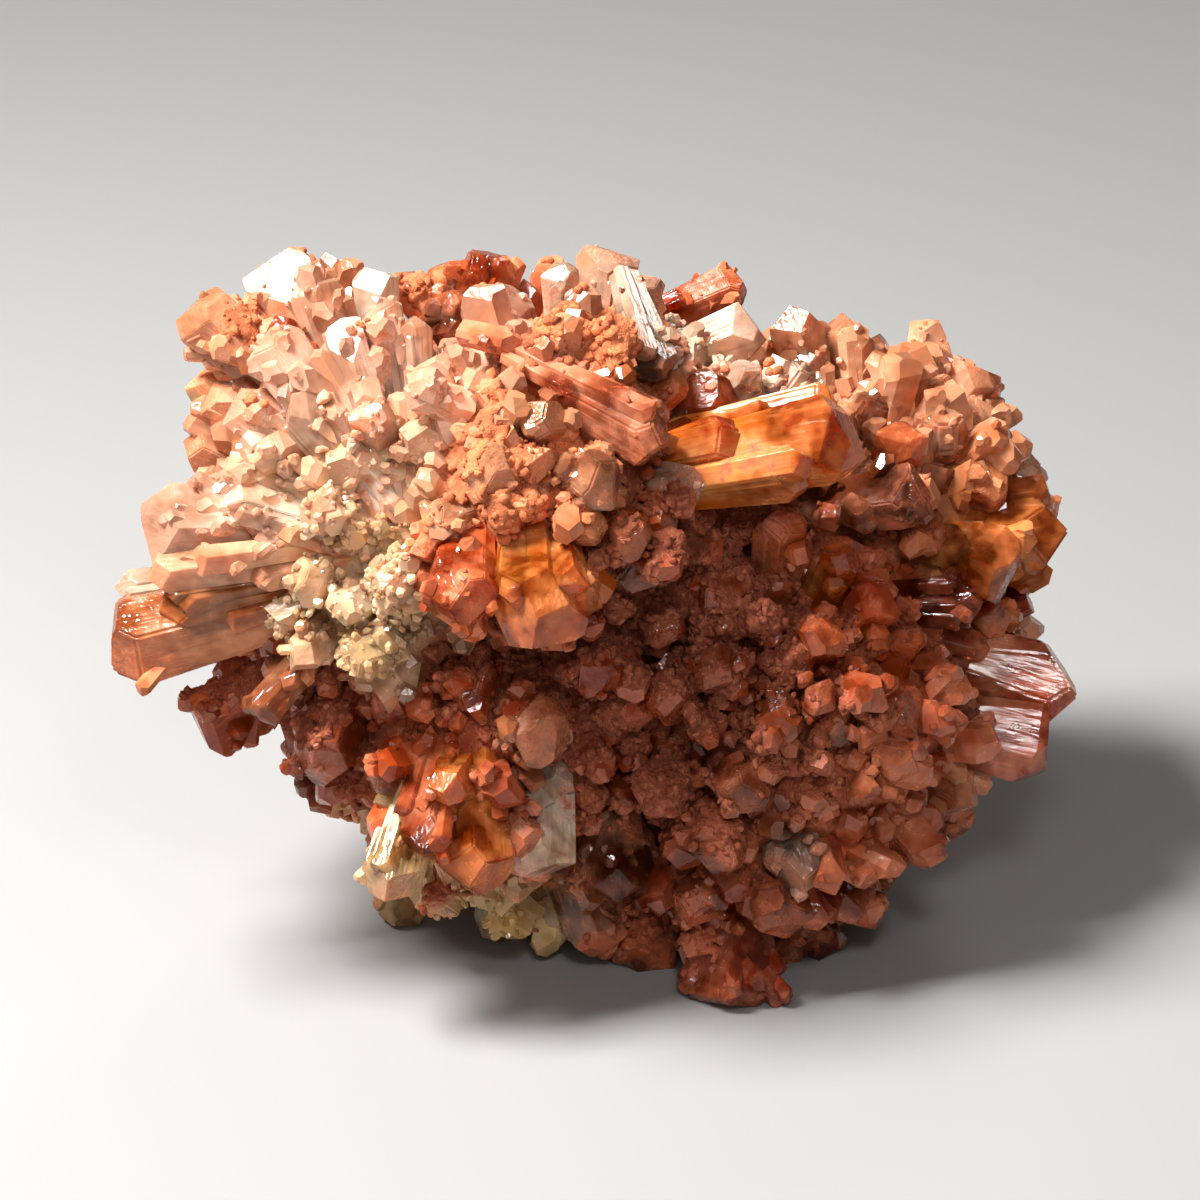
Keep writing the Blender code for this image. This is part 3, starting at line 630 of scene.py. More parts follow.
def all_crystals():
    placed = []
    for spray in SPRAYS:
        centre = spot(*spray.centre)
        for crystal in spray.crystals:
            tip = spot(*crystal.tip)
            root = spot(*crystal.root) if crystal.root else centre.lerp(tip, ROOT_DEPTH)
            turn = Matrix.Rotation(math.radians(crystal.turn), 3, tip - root)
            side = turn @ TOWARDS_VIEWER.cross(tip - root)
            shine = spot(*crystal.shine) if crystal.shine else None
            placed.append(
                Placed(root, tip, crystal.width, crystal.habit, side, crystal.colour, spray.name, shine)
            )
    taken = [crystal.tip for crystal in placed]
    rng = random.Random(SEED)
    for spray in SPRAYS:
        placed += fill_crystals(spray, taken, rng)
    return placed


MAIN_CRYSTALS = all_crystals()
print(len(MAIN_CRYSTALS), "main crystals")

# %% [markdown]
# Cutting a crystal
#
# A crystal is what is left between flat planes, so that is how one is made: a long block is cut by
# six planes for the prism and by three to six for the end. Its edges are worn a little round,
# because a perfectly sharp edge never catches the light. Each corner also remembers where it is
# along the crystal, and its place in the crystal's own frame, for striations that follow its length.
# A facet that mirrors the lamp is one more cut, square to the line halfway between lamp and viewer.

# %% Cut one crystal
ROOT_SHARE = 0.62
FLATNESS = 0.78
SHOULDER = 0.4  # in widths below the tip, where a crystal has its full width
PRISM_ANGLES = (0, 57, 123, 180, 237, 303)
SIDE_WOBBLE = 7  # in degrees
SIDE_SHIFT = (0.9, 1.06)
END_WOBBLE = 6
END_TURN = 18
BLANK = 3  # the block that a crystal is cut from, in widths
WEAR = 0.07
WEAR_FROM = 0.3
ROUNDER_FROM = 1.6  # wider crystals have their edges worn in two steps
KEY_PLACE = (-170, 250, 90)
ACCENT_PLACE = (75, 225, 155)

Solid = namedtuple("Solid", "points faces grow along")


def cut(bm, point, normal):
    found = bmesh.ops.bisect_plane(
        bm,
        geom=bm.verts[:] + bm.edges[:] + bm.faces[:],
        plane_co=point,
        plane_no=normal,
        clear_outer=True,
    )
    edges = [item for item in found["geom_cut"] if isinstance(item, bmesh.types.BMEdge)]
    if len(edges) > 2:
        bmesh.ops.contextual_create(bm, geom=edges)


def end_planes(habit, length, width, rng):
    """(point, normal) of each face that ends a crystal, in its own frame."""
    turn = rng.choice((0.0, math.pi))

    def leaning(angle, round_axis, inwards):
        lean = math.radians(angle + rng.uniform(-END_WOBBLE, END_WOBBLE))
        way = turn + math.radians(round_axis + rng.uniform(-END_TURN, END_TURN))
        normal = Vector(
            (math.sin(lean) * math.cos(way), math.sin(lean) * math.sin(way), math.cos(lean))
        )
        return Vector((0, 0, length)) + normal * inwards * width, normal

    if habit in ("point", "wedge"):
        return [leaning(50, 20, 0.0), leaning(48, 150, 0.0), leaning(46, 270, 0.0)]
    if habit in ("blunt", "stub"):
        return [
            leaning(13, 0, 0.0),
            leaning(52, 75, 0.14),
            leaning(50, 250, 0.16),
            leaning(60, 165, 0.26),
            leaning(36, 320, 0.10),
            leaning(34, 120, 0.10),
        ]
    return [leaning(32, 10, 0.0), leaning(46, 180, 0.0), leaning(60, 95, 0.12), leaning(64, 280, 0.18)]


def mirror_normal(place):
    """The normal of a facet that mirrors the lamp on its side of the specimen to the viewer."""
    to_viewer = spot(0, 0, SIGHT_DISTANCE) - place
    to_lamp = spot(*(ACCENT_PLACE if place.x > 10 else KEY_PLACE)) - place
    return (to_viewer.normalized() + to_lamp.normalized()).normalized()


def wear(bm, width, length):
    """Rounds the edges, except near the root, where nobody sees them."""
    shown = [edge for edge in bm.edges if max(vert.co.z for vert in edge.verts) > length * WEAR_FROM]
    bmesh.ops.bevel(
        bm,
        geom=shown,
        offset=WEAR * width,
        segments=2 if width > ROUNDER_FROM else 1,
        affect="EDGES",
        clamp_overlap=True,
    )


def cut_crystal(root, tip, width, habit, side, rng, worn=True, root_share=ROOT_SHARE, shine=None):
    """One crystal, in millimetres, as a Solid."""
    along = tip - root
    length = along.length
    axis = along.normalized()
    across = (side - axis * side.dot(axis)).normalized()
    axes = Matrix((across, axis.cross(across), axis))
    bm = bmesh.new()
    bmesh.ops.create_cube(bm, size=1)
    bmesh.ops.scale(bm, vec=(width * BLANK, width * BLANK, length + width), verts=bm.verts)
    bmesh.ops.translate(bm, vec=(0, 0, (length + width) / 2), verts=bm.verts)
    spread = math.atan((1 - root_share) * width / 2 / length)
    for number, angle in enumerate(PRISM_ANGLES):
        turned = math.radians(angle + rng.uniform(-SIDE_WOBBLE, SIDE_WOBBLE))
        reach = 1.0 if number % 3 == 0 else FLATNESS
        out = Vector((math.cos(turned), math.sin(turned), -math.sin(spread)))
        shoulder = Vector((math.cos(turned), math.sin(turned), 0)) * width / 2 * reach
        shoulder *= rng.uniform(*SIDE_SHIFT)
        cut(bm, shoulder + Vector((0, 0, length - width * SHOULDER)), out)
    for point, normal in end_planes(habit, length, width, rng):
        cut(bm, point, normal)
    if shine:
        cut(bm, axes @ (shine - root), axes @ mirror_normal(shine))
    if worn:
        wear(bm, width, length)
    bmesh.ops.triangulate(bm, faces=[face for face in bm.faces if len(face.verts) > 4])
    grow = np.array([tuple(vert.co) for vert in bm.verts])
    bm.verts.index_update()
    faces = [tuple(vert.index for vert in face.verts) for face in bm.faces]
    bm.free()
    return Solid(grow @ np.array(axes) + np.array(root), faces, grow, grow[:, 2] / length)


upwards, sidewards = Vector((0, 0, 8)), Vector((1, 0, 0))
sample = cut_crystal(Vector(), upwards, 2.5, "chisel", sidewards, random.Random(1))
print("one crystal:", len(sample.points), "corners,", len(sample.faces), "faces")

# %% [markdown]
# Bundles
#
# A creedite crystal is seldom alone: smaller ones stand against it, nearly parallel, and end a
# little lower, which gives the stepped, splintery look. Each main crystal therefore becomes a
# bundle. The leaning ones start at the same root and stay within the main one's girth, so the
# outline is still that of the solid. All crystals of a spray share one mesh, and every corner
# carries what the finish needs: colour, coat, direction of growth and a random tint.

# %% Grow the bundles
LEAN = math.radians(5)
GOLDEN_TURN = 2.4  # in radians, from one leaning crystal to the next
TURN_WOBBLE = 0.4
LEANING_WIDTHS = (0.34, 0.62)  # in widths of the main crystal
LEANING_LOWER = (0.15, 1.7)
LOWEST = 0.6  # in lengths of the main crystal
NAMED_COAT = 0.55  # a crystal with a colour of its own is cleaner than its patch
COLOUR_FROM = 0.8  # where along a crystal its patch is looked up
LARGE = 2
TRAITS = (
    ("grow", "FLOAT_VECTOR"),
    ("axis", "FLOAT_VECTOR"),
    ("along", "FLOAT"),
    ("tint", "FLOAT"),
    ("plain", "FLOAT"),
    ("coat", "FLOAT"),
    ("crystal_colour", "FLOAT_COLOR"),
    ("oxide_colour", "FLOAT_COLOR"),
)


def store(mesh, label, kind, rows):
    """Writes a named attribute on the points of a mesh."""
    key = {"FLOAT": "value", "FLOAT_VECTOR": "vector", "FLOAT_COLOR": "color"}[kind]
    layer = mesh.attributes.get(label) or mesh.attributes.new(label, kind, "POINT")
    layer.data.foreach_set(key, np.asarray(rows, np.float32).ravel())


class Batch:
    """Crystals that end up in one mesh, with their traits."""

    def __init__(self):
        self.points, self.faces, self.count = [], [], 0
        self.rows = {label: [] for label, _ in TRAITS}

    def add(self, solid, **traits):
        self.faces += [tuple(index + self.count for index in face) for face in solid.faces]
        number = len(solid.points)
        self.count += number
        self.points.append(solid.points)
        self.rows["grow"].append(solid.grow)
        self.rows["along"].append(solid.along[:, None])
        for label, value in traits.items():
            self.rows[label].append(np.tile(np.atleast_1d(value), (number, 1)))

    def mesh(self, name):
        mesh = bpy.data.meshes.new(name)
        points = np.concatenate(self.points)
        points[:, 2] = np.maximum(points[:, 2], 0)
        mesh.from_pydata((points * MM).tolist(), [], self.faces)
        for label, kind in TRAITS:
            store(mesh, label, kind, np.concatenate(self.rows[label]))
        mesh.update()
        return mesh


def bundle(crystal, count, rng):
    """The main crystal, then the smaller ones round it."""
    yield cut_crystal(*crystal[:5], rng, shine=crystal.shine)
    axis = (crystal.tip - crystal.root).normalized()
    length = (crystal.tip - crystal.root).length
    start = rng.uniform(0, math.tau)
    for number in range(count):
        turn = start + number * GOLDEN_TURN + rng.uniform(-TURN_WOBBLE, TURN_WOBBLE)
        first = axis.orthogonal().normalized()
        outwards = Matrix.Rotation(turn, 3, axis) @ first
        width = crystal.width * rng.uniform(*LEANING_WIDTHS)
        apart = crystal.width * 0.60 - width * 0.45
        lower = min(crystal.width * rng.uniform(*LEANING_LOWER), length * LOWEST)
        tip = crystal.tip - axis * lower + outwards * apart
        root = crystal.root + outwards * apart * 0.7
        lean = Matrix.Rotation(rng.uniform(-LEAN, LEAN), 3, first)
        tip = root + lean @ (tip - root)
        habit = rng.choice(("chisel", "blunt", "point", "blunt"))
        yield cut_crystal(root, tip, width, habit, crystal.side, rng)


def add_object(name, mesh):
    made = bpy.data.objects.new(name, mesh)
    bpy.context.scene.collection.objects.link(made)
    return made


def opaque(colour):
    return (*colour, 1.0)


rng = random.Random(5)
batches = {spray.name: Batch() for spray in SPRAYS}
for crystal in MAIN_CRYSTALS:
    traits = traits_at([crystal.root.lerp(crystal.tip, COLOUR_FROM)])[0]
    colour, coat, oxide = traits[:3], traits[3], traits[4:]
    if crystal.colour:
        colour = np.array(PALETTE[crystal.colour])
        coat *= NAMED_COAT
    axis = tuple((crystal.tip - crystal.root).normalized())
    for solid in bundle(crystal, 5 if crystal.width > LARGE else 3, rng):
        batches[crystal.spray].add(
            solid,
            axis=axis,
            tint=rng.random(),
            plain=1.0 if crystal.colour in CLEAN else 0.5 if crystal.colour else 0.0,
            coat=coat,
            crystal_colour=opaque(colour),
            oxide_colour=opaque(oxide),
        )
crystal_pieces = [
    add_object(f"{name}_crystals", batch.mesh(f"{name}_crystals")) for name, batch in batches.items()
]
for piece in crystal_pieces:
    print(piece.name, len(piece.data.polygons), "faces")

# %% [markdown]
# The ground and the skin
#
# Each spray grew from a rough middle. It shows only as the ground deep between the crystals, stained by
# oxide where the coat is thick and elsewhere a darker copy of the crystals' colour as painted shade, so
# it is one mesh for all of them: balls joined by a voxel remesh. The skin is a helper that never shows:
# everything grown so far, wrapped by another voxel remesh. It gives one outer surface to grow the small
# things on, without the buried sides of the crystals. A small node tree copies the traits of the
# nearest crystal on to every point of the skin.

# %% Helpers for node trees
class Tree(Nodes):
    """A Geometry Nodes tree with named inputs."""

    KINDS = {float: "NodeSocketFloat", int: "NodeSocketInt"}

    def __init__(self, name, **values):
        self.tree = bpy.data.node_groups.new(name, "GeometryNodeTree")
        self.tree.interface.new_socket("Geometry", in_out="INPUT", socket_type="NodeSocketGeometry")
        self.tree.interface.new_socket("Geometry", in_out="OUTPUT", socket_type="NodeSocketGeometry")
        self.values = {}
        for label, value in values.items():
            kind = self.KINDS.get(type(value)) or (
                "NodeSocketObject" if isinstance(value, bpy.types.Object) else "NodeSocketCollection"
            )
            socket = self.tree.interface.new_socket(label, in_out="INPUT", socket_type=kind)
            self.values[socket.identifier] = value
        self.inputs = self.tree.nodes.new("NodeGroupInput").outputs
        self.output = self.tree.nodes.new("NodeGroupOutput").inputs[0]

    def noise(self, scale, detail=2.0):
        return self.node("ShaderNodeTexNoise", Scale=scale, Detail=detail).outputs[0]

    def named(self, label, kind="FLOAT"):
        made = self.node("GeometryNodeInputNamedAttribute", {"data_type": kind}, Name=label)
        return made.outputs["Attribute"]

    def end_at(self, geometry):
        self.tree.links.new(geometry, self.output)

    def apply_to(self, obj):
        modifier = obj.modifiers.new(self.tree.name, "NODES")
        modifier.node_group = self.tree
        for identifier, value in self.values.items():
            modifier[identifier] = value
        applied(obj)


def applied(obj):
    """Makes the object's mesh the one with its modifiers applied, and removes them."""
    depsgraph = bpy.context.evaluated_depsgraph_get()
    mesh = bpy.data.meshes.new_from_object(obj.evaluated_get(depsgraph))
    obj.modifiers.clear()
    obj.data = mesh


def stand_on_table(mesh):
    """Nothing reaches below the surface that the specimen stands on."""
    flat = np.empty(len(mesh.vertices) * 3, np.float32)
    mesh.vertices.foreach_get("co", flat)
    flat[2::3] = np.maximum(flat[2::3], 0)
    mesh.vertices.foreach_set("co", flat)
    mesh.update()


# %% Make the ground
GROUND_VOXEL = 0.35
GROUND_SHARE = 0.97
GROUND_ALONG = 0.2  # the ground counts as the lowest fifth of a crystal
GROUND_TINT = 0.3
# Painted shade: where the oxide doesn't stain it, the ground deep between the crystals takes their colour
# darkened to this share.
GROUND_PAINTED_SHADE = 0.8  # its colour, as a share of the crystals' own
STAIN = 2.5  # how fast the ground turns from the crystals' colour to the oxide's as the coat grows


def voxel_remesh(obj, voxel):
    remesh = obj.modifiers.new("remesh", "REMESH")
    remesh.mode = "VOXEL"
    remesh.voxel_size = voxel * MM
    applied(obj)


def points_of(mesh):
    flat = np.empty(len(mesh.vertices) * 3)
    mesh.vertices.foreach_get("co", flat)
    return flat.reshape(-1, 3) / MM


def ground_mesh():
    bm = bmesh.new()
    for spray in SPRAYS:
        size = Vector(spray.core) * GROUND_SHARE
        turn = Matrix.Translation(spot(*spray.centre)) @ Matrix.Diagonal((*size, 1))
        bmesh.ops.create_icosphere(bm, subdivisions=4, radius=1, matrix=turn)
    bmesh.ops.scale(bm, vec=(MM, MM, MM), verts=bm.verts)
    mesh = bpy.data.meshes.new("ground")
    bm.to_mesh(mesh)
    bm.free()
    return mesh


def store_ground_traits(mesh):
    """The ground takes the patches' traits, and grows outwards from the nearest spray's middle."""
    places = points_of(mesh)
    traits = traits_at(places)
    ones = np.ones((len(places), 1))
    stained = np.clip(traits[:, 3:4] * STAIN, 0, 1)
    # The ground's colour is real oxide stain where the coat is thick, and painted shade (the crystals'
    # colour darkened) where it is thin.
    stain_and_painted_shade = traits[:, :3] * GROUND_PAINTED_SHADE * (1 - stained) + traits[:, 4:] * stained
    centres = np.array([tuple(spot(*spray.centre)) for spray in SPRAYS])
    away = places[:, None, :] - centres[None]
    nearest = np.linalg.norm(away, axis=2).argmin(axis=1)
    axis = away[np.arange(len(places)), nearest]
    axis /= np.linalg.norm(axis, axis=1, keepdims=True)
    store(mesh, "axis", "FLOAT_VECTOR", axis)
    store(mesh, "grow", "FLOAT_VECTOR", places)
    store(mesh, "along", "FLOAT", ones * GROUND_ALONG)
    store(mesh, "host_along", "FLOAT", ones * GROUND_ALONG)
    store(mesh, "tint", "FLOAT", ones * GROUND_TINT)
    store(mesh, "plain", "FLOAT", ones * 0)
    store(mesh, "coat", "FLOAT", traits[:, 3])
    store(mesh, "crystal_colour", "FLOAT_COLOR", np.hstack((traits[:, :3], ones)))
    # On the ground, oxide_colour carries both the oxide stain and the painted shade.
    store(mesh, "oxide_colour", "FLOAT_COLOR", np.hstack((stain_and_painted_shade, ones)))


ground = add_object("ground", ground_mesh())
voxel_remesh(ground, GROUND_VOXEL)
store_ground_traits(ground.data)
print("ground:", len(ground.data.polygons), "faces")

# %% Wrap a skin
SKIN_TRAITS = [trait for trait in TRAITS if trait[0] not in ("grow", "tint")]


def joined(name, pieces):
    bm = bmesh.new()
    for piece in pieces:
        bm.from_mesh(piece.data)
    mesh = bpy.data.meshes.new(name)
    bm.to_mesh(mesh)
    bm.free()
    return add_object(name, mesh)


def keep_outside(obj):
    """Keeps the largest connected surface, and drops what the remesh closed off inside."""
    bm = bmesh.new()
    bm.from_mesh(obj.data)
    left = set(bm.verts)
    largest = set()
    while left:
        found, rim = set(), [left.pop()]
        while rim:
            vert = rim.pop()
            found.add(vert)
            for edge in vert.link_edges:
                other = edge.other_vert(vert)
                if other in left:
                    left.remove(other)
                    rim.append(other)
        largest = max(largest, found, key=len)
    inner = [vert for vert in bm.verts if vert not in largest]
    bmesh.ops.delete(bm, geom=inner, context="VERTS")
    bm.to_mesh(obj.data)
    bm.free()


def copy_traits(obj, source):
    """Gives each point of a mesh the traits of the nearest place on another mesh."""
    tree = Tree("copy traits", Source=source)
    looked_up = tree.node("GeometryNodeObjectInfo", Object=tree.inputs["Source"])
    geometry = tree.inputs["Geometry"]
    for label, kind in SKIN_TRAITS:
        near = tree.node("GeometryNodeSampleNearestSurface", {"data_type": kind})
        tree.set(near, "Mesh", looked_up.outputs["Geometry"])
        tree.set(near, "Value", tree.named(label, kind))
        kept = tree.node(
            "GeometryNodeStoreNamedAttribute",
            {"data_type": kind, "domain": "POINT"},
            Geometry=geometry,
            Name=f"host_{label}" if label == "along" else label,
            Value=near.outputs["Value"],
        )
        geometry = kept.outputs[0]
    tree.end_at(geometry)
    tree.apply_to(obj)


def wrap(name, pieces, voxel):
    source = joined("source", pieces)
    skin = add_object(name, source.data.copy())
    voxel_remesh(skin, voxel)
    keep_outside(skin)
    copy_traits(skin, source)
    bpy.data.objects.remove(source, do_unlink=True)
    print(name, len(skin.data.polygons), "faces")
    return skin


# %% [markdown]
# Small crystals on the skin
#
# Between the big prisms the specimen is covered with smaller ones: stubby undergrowth that stands
# on the ground, stubs about a millimetre wide and druse of half that, mostly parallel to the crystal that
# they sit on, so only their ends show, and the grains of the sugary places.
# Geometry Nodes make them all. Points are scattered on the skin with a least distance, a
# crystal from a few variants stands on each, turned along a blend of the host's length and the
# skin's normal and sunk into it, and the instances are realized, because only a plain mesh can be
# exported. The points carry the skin's traits along to the crystals.

# %% The tree that scatters
def variants(name, habits, width, length, seed, root_share=0.9):
    """A collection of small crystals for instancing; it isn't linked to the scene."""
    collection = bpy.data.collections.new(name)
    rng = random.Random(seed)
    for number, habit in enumerate(habits):
        wide = width * rng.uniform(0.8, 1.2)
        tip = Vector((0, 0, length * rng.uniform(0.85, 1.15)))
        solid = cut_crystal(Vector(), tip, wide, habit, Vector((1, 0, 0)), rng, False, root_share)
        mesh = bpy.data.meshes.new(f"{name}_{number}")
        mesh.from_pydata((solid.points * MM).tolist(), [], solid.faces)
        store(mesh, "grow", "FLOAT_VECTOR", solid.grow)
        store(mesh, "along", "FLOAT", solid.along)
        collection.objects.link(bpy.data.objects.new(mesh.name, mesh))
    return collection


def scatter(name, host, collection, weight, tilt, finish, **values):
    """Stands a collection's shapes on a host's faces; weight(tree) gives the density, 0 to 1."""
    tree = Tree(name, **values, Shapes=collection)
    given = tree.inputs
    points = tree.node(
        "GeometryNodeDistributePointsOnFaces",
        {"distribute_method": "POISSON"},
        Mesh=given["Geometry"],
        Distance_Min=tree.math("MULTIPLY", given["Spacing"], MM),
        Density_Max=given["Density"],
        Density_Factor=weight(tree),
        Seed=given["Seed"],
    )
    blend = tree.node("ShaderNodeMix", {"data_type": "VECTOR"})
    tree.set(blend, "i0", given["Upright"])
    tree.set(blend, "i4", tree.named("axis", "FLOAT_VECTOR"))
    tree.set(blend, "i5", points.outputs["Normal"])
    way = tree.node("ShaderNodeVectorMath", {"operation": "NORMALIZE"}, i0=blend.outputs[1])
    facing = tree.node("FunctionNodeAlignRotationToVector", {"axis": "Z"}, Vector=way.outputs[0])
    shake = tree.node("FunctionNodeRandomValue", {"data_type": "FLOAT_VECTOR"}, Seed=given["Seed"])
    shake.inputs[0].default_value = (-tilt, -tilt, -math.pi)
    shake.inputs[1].default_value = (tilt, tilt, math.pi)
    turned = tree.node(
        "FunctionNodeRotateRotation",
        {"rotation_space": "LOCAL"},
        Rotation=facing.outputs[0],
        Rotate_By=shake.outputs[0],
    )
    chance = tree.node("FunctionNodeRandomValue", {"data_type": "FLOAT"}, Seed=given["Seed"])
    size = tree.node("ShaderNodeMapRange", Value=tree.math("POWER", chance.outputs[1], 1.6))
    tree.set(size, "To Min", given["Smallest"])
    tree.set(size, "To Max", given["Largest"])
    depth = tree.math("MULTIPLY", tree.math("MULTIPLY", given["Sunk"], -MM), size.outputs[0])
    sunk = tree.node("ShaderNodeVectorMath", {"operation": "SCALE"}, i0=way.outputs[0])
    tree.set(sunk, "Scale", depth)
    lowered = tree.node("GeometryNodeSetPosition", Geometry=points.outputs[0], Offset=sunk.outputs[0])
    shapes = tree.node("GeometryNodeCollectionInfo", Collection=given["Shapes"])
    shapes.inputs["Separate Children"].default_value = True
    shapes.inputs["Reset Children"].default_value = True
    stood = tree.node(
        "GeometryNodeInstanceOnPoints",
        Points=lowered.outputs[0],
        Instance=shapes.outputs[0],
        Pick_Instance=True,
        Rotation=turned.outputs[0],
        Scale=size.outputs[0],
    )
    tint = tree.node("FunctionNodeRandomValue", {"data_type": "FLOAT"}, Seed=given["Seed"])
    stored = tree.node(
        "GeometryNodeStoreNamedAttribute",
        {"data_type": "FLOAT", "domain": "INSTANCE"},
        Geometry=stood.outputs[0],
        Name="tint",
        Value=tint.outputs[1],
    )
    real = tree.node("GeometryNodeRealizeInstances", Geometry=stored.outputs[0])
    dressed = tree.node("GeometryNodeSetMaterial", Geometry=real.outputs[0], Material=finish)
    tree.end_at(dressed.outputs[0])
    piece = add_object(name, host.data.copy())
    tree.apply_to(piece)
    stand_on_table(piece.data)
    print(name, len(piece.data.polygons), "faces,", len(piece.data.vertices), "corners")
    return piece


# %% Grow the undergrowth, the stubs and the druse
undergrowth_shapes = variants(
    "undergrowth_shapes", ("blunt", "chisel", "blunt", "point", "chisel", "blunt"), 1.75, 4.4, 51
)
undergrowth = scatter(
    "undergrowth", ground, undergrowth_shapes, lambda tree: 1.0, 0.3, fine_creedite,
    Spacing=1.5, Density=1.0e6, Seed=4, Upright=0.5, Smallest=0.5, Largest=1.2, Sunk=2.3,
)
FIRST_VOXEL = 0.36
first_skin = wrap("first_skin", (*crystal_pieces, ground, undergrowth), FIRST_VOXEL)


def stub_weight(tree):
    """Fewer at the tips, and none on the prisms that show their clean faces."""
    lower = tree.ramp(tree.named("host_along"), 0.8, 1.02, 1.0, 0.0)
    return tree.math("MULTIPLY", lower, tree.ramp(tree.named("plain"), 0.3, 0.7, 1.0, 0.0))


def druse_weight(tree):
    """Thick near the roots, thin towards the tips, and patchy."""
    lower = tree.ramp(tree.named("host_along"), 0.55, 1.0, 1.0, 0.15)
    patchy = tree.ramp(tree.noise(260), 0.40, 0.58, 0.15, 1.0)
    bare = tree.ramp(tree.named("plain"), 0.3, 0.7, 1.0, 0.08)
    return tree.math("MULTIPLY", tree.math("MULTIPLY", lower, patchy), bare)


stub_shapes = variants("stub_shapes", ("chisel", "blunt", "point", "blunt", "chisel"), 1.25, 3.2, 33)
stubs = scatter(
    "stubs", first_skin, stub_shapes, stub_weight, 0.22, fine_creedite,
    Spacing=1.15, Density=1.2e6, Seed=2, Upright=0.45, Smallest=0.55, Largest=1.2, Sunk=2.35,
)
SECOND_VOXEL = 0.28
second_skin = wrap("second_skin", (*crystal_pieces, ground, undergrowth, stubs), SECOND_VOXEL)
druse_shapes = variants("druse_shapes", ("chisel", "blunt", "point", "chisel", "blunt"), 0.62, 1.3, 21)
druse = scatter(
    "druse", second_skin, druse_shapes, druse_weight, 0.3, fine_creedite,
    Spacing=0.52, Density=5.0e6, Seed=3, Upright=0.4, Smallest=0.5, Largest=1.2, Sunk=0.95,
)


def sugar_weight(tree):
    """Only where the crystals are palest."""
    pale = tree.node("FunctionNodeSeparateColor", Color=tree.named("crystal_colour", "FLOAT_COLOR"))
    bare = tree.ramp(tree.named("plain"), 0.3, 0.7, 1.0, 0.0)
    patchy = tree.math("ADD", pale.outputs[1], tree.ramp(tree.noise(300), 0.3, 0.7, -0.08, 0.08))
    return tree.math("MULTIPLY", tree.ramp(patchy, 0.60, 0.80), bare)


sugar_shapes = variants("sugar_shapes", ("chisel", "point", "blunt"), 0.36, 0.8, 44)
sugar = scatter(
    "sugar", second_skin, sugar_shapes, sugar_weight, 0.7, sugar_creedite,
    Spacing=0.26, Density=2.0e7, Seed=6, Upright=0.5, Smallest=0.4, Largest=1.2, Sunk=0.5,
)

# %% [markdown]
# The oxide crust
#
# The red-brown coating is earthy iron oxide, a fraction of a millimetre thick, that grew over the
# crystals in patches. It has real thickness and a ragged edge, so it is geometry: the skin's faces
# are kept where a patchy field says that the coat is thick enough, they are pushed out and
# roughened by two sizes of noise, and Solidify gives them an inner side, so each patch is closed.
# The skin is wrapped once more for it, round the small crystals too, since the oxide came last.

# %% Grow the crust
SETTLED_FROM = Vector((-0.35, -0.25, 0.9))
SETTLED = 0.22  # how much thicker the coat is on faces that look that way
CLEANER_TIPS = 0.22
CLEANER_NAMED = 0.25


def crust_field(tree, spread):
    """How thick the coat is at a point: the patches' coat, made ragged, and more on upper sides."""
    facing = tree.node("ShaderNodeVectorMath", {"operation": "DOT_PRODUCT"}, i1=SETTLED_FROM)
    tree.set(facing, "i0", tree.node("GeometryNodeInputNormal").outputs[0])
    settled = tree.math("MULTIPLY", facing.outputs["Value"], SETTLED)
    uneven = tree.math("SUBTRACT", tree.noise(420, 4), 0.5)
    ragged = tree.math("MULTIPLY_ADD", uneven, spread, tree.named("coat"))
    tips = tree.ramp(tree.named("host_along"), 0.8, 1.02, 0.0, CLEANER_TIPS)
    plain = tree.math("MULTIPLY", tree.named("plain"), CLEANER_NAMED)
    return tree.math("SUBTRACT", tree.math("ADD", ragged, settled), tree.math("ADD", tips, plain))


def crust_tree(**values):
    tree = Tree("crust", **values)
    given = tree.inputs
    bare = tree.math("LESS_THAN", crust_field(tree, given["Raggedness"]), given["Limit"])
    kept = tree.node("GeometryNodeDeleteGeometry", Geometry=given["Geometry"], Selection=bare)
    grain = tree.node("ShaderNodeTexVoronoi", {"feature": "F1"}, Scale=2200)
    lumps = tree.math("MULTIPLY", tree.math("SUBTRACT", tree.noise(1100, 3), 0.42), given["Lumpiness"])
    hollows = tree.math("MULTIPLY", given["Graininess"], -1.0)
    grains = tree.math("MULTIPLY", grain.outputs["Distance"], hollows)
    height = tree.math("ADD", tree.math("ADD", lumps, grains), given["Thickness"])
    outwards = tree.node("ShaderNodeVectorMath", {"operation": "SCALE"})
    tree.set(outwards, "i0", tree.node("GeometryNodeInputNormal").outputs[0])
    tree.set(outwards, "Scale", tree.math("MULTIPLY", height, MM))
    moved = tree.node("GeometryNodeSetPosition", Geometry=kept.outputs[0], Offset=outwards.outputs[0])
    dressed = tree.node("GeometryNodeSetMaterial", Geometry=moved.outputs[0], Material=iron_oxide)
    tree.end_at(dressed.outputs[0])
    return tree


CRUST_INSIDE = 0.25
SKIN_VOXEL = 0.19
skin = wrap("skin", (*crystal_pieces, ground, undergrowth, stubs, druse), SKIN_VOXEL)
crust = add_object("crust", skin.data.copy())
crust_tree(Limit=0.5, Raggedness=1.5, Lumpiness=0.55, Graininess=0.2, Thickness=0.12).apply_to(crust)
thickness = crust.modifiers.new("thickness", "SOLIDIFY")
thickness.thickness = CRUST_INSIDE * MM
thickness.offset = -1
applied(crust)
stand_on_table(crust.data)
crust.data.shade_smooth()
print("crust:", len(crust.data.polygons), "faces")

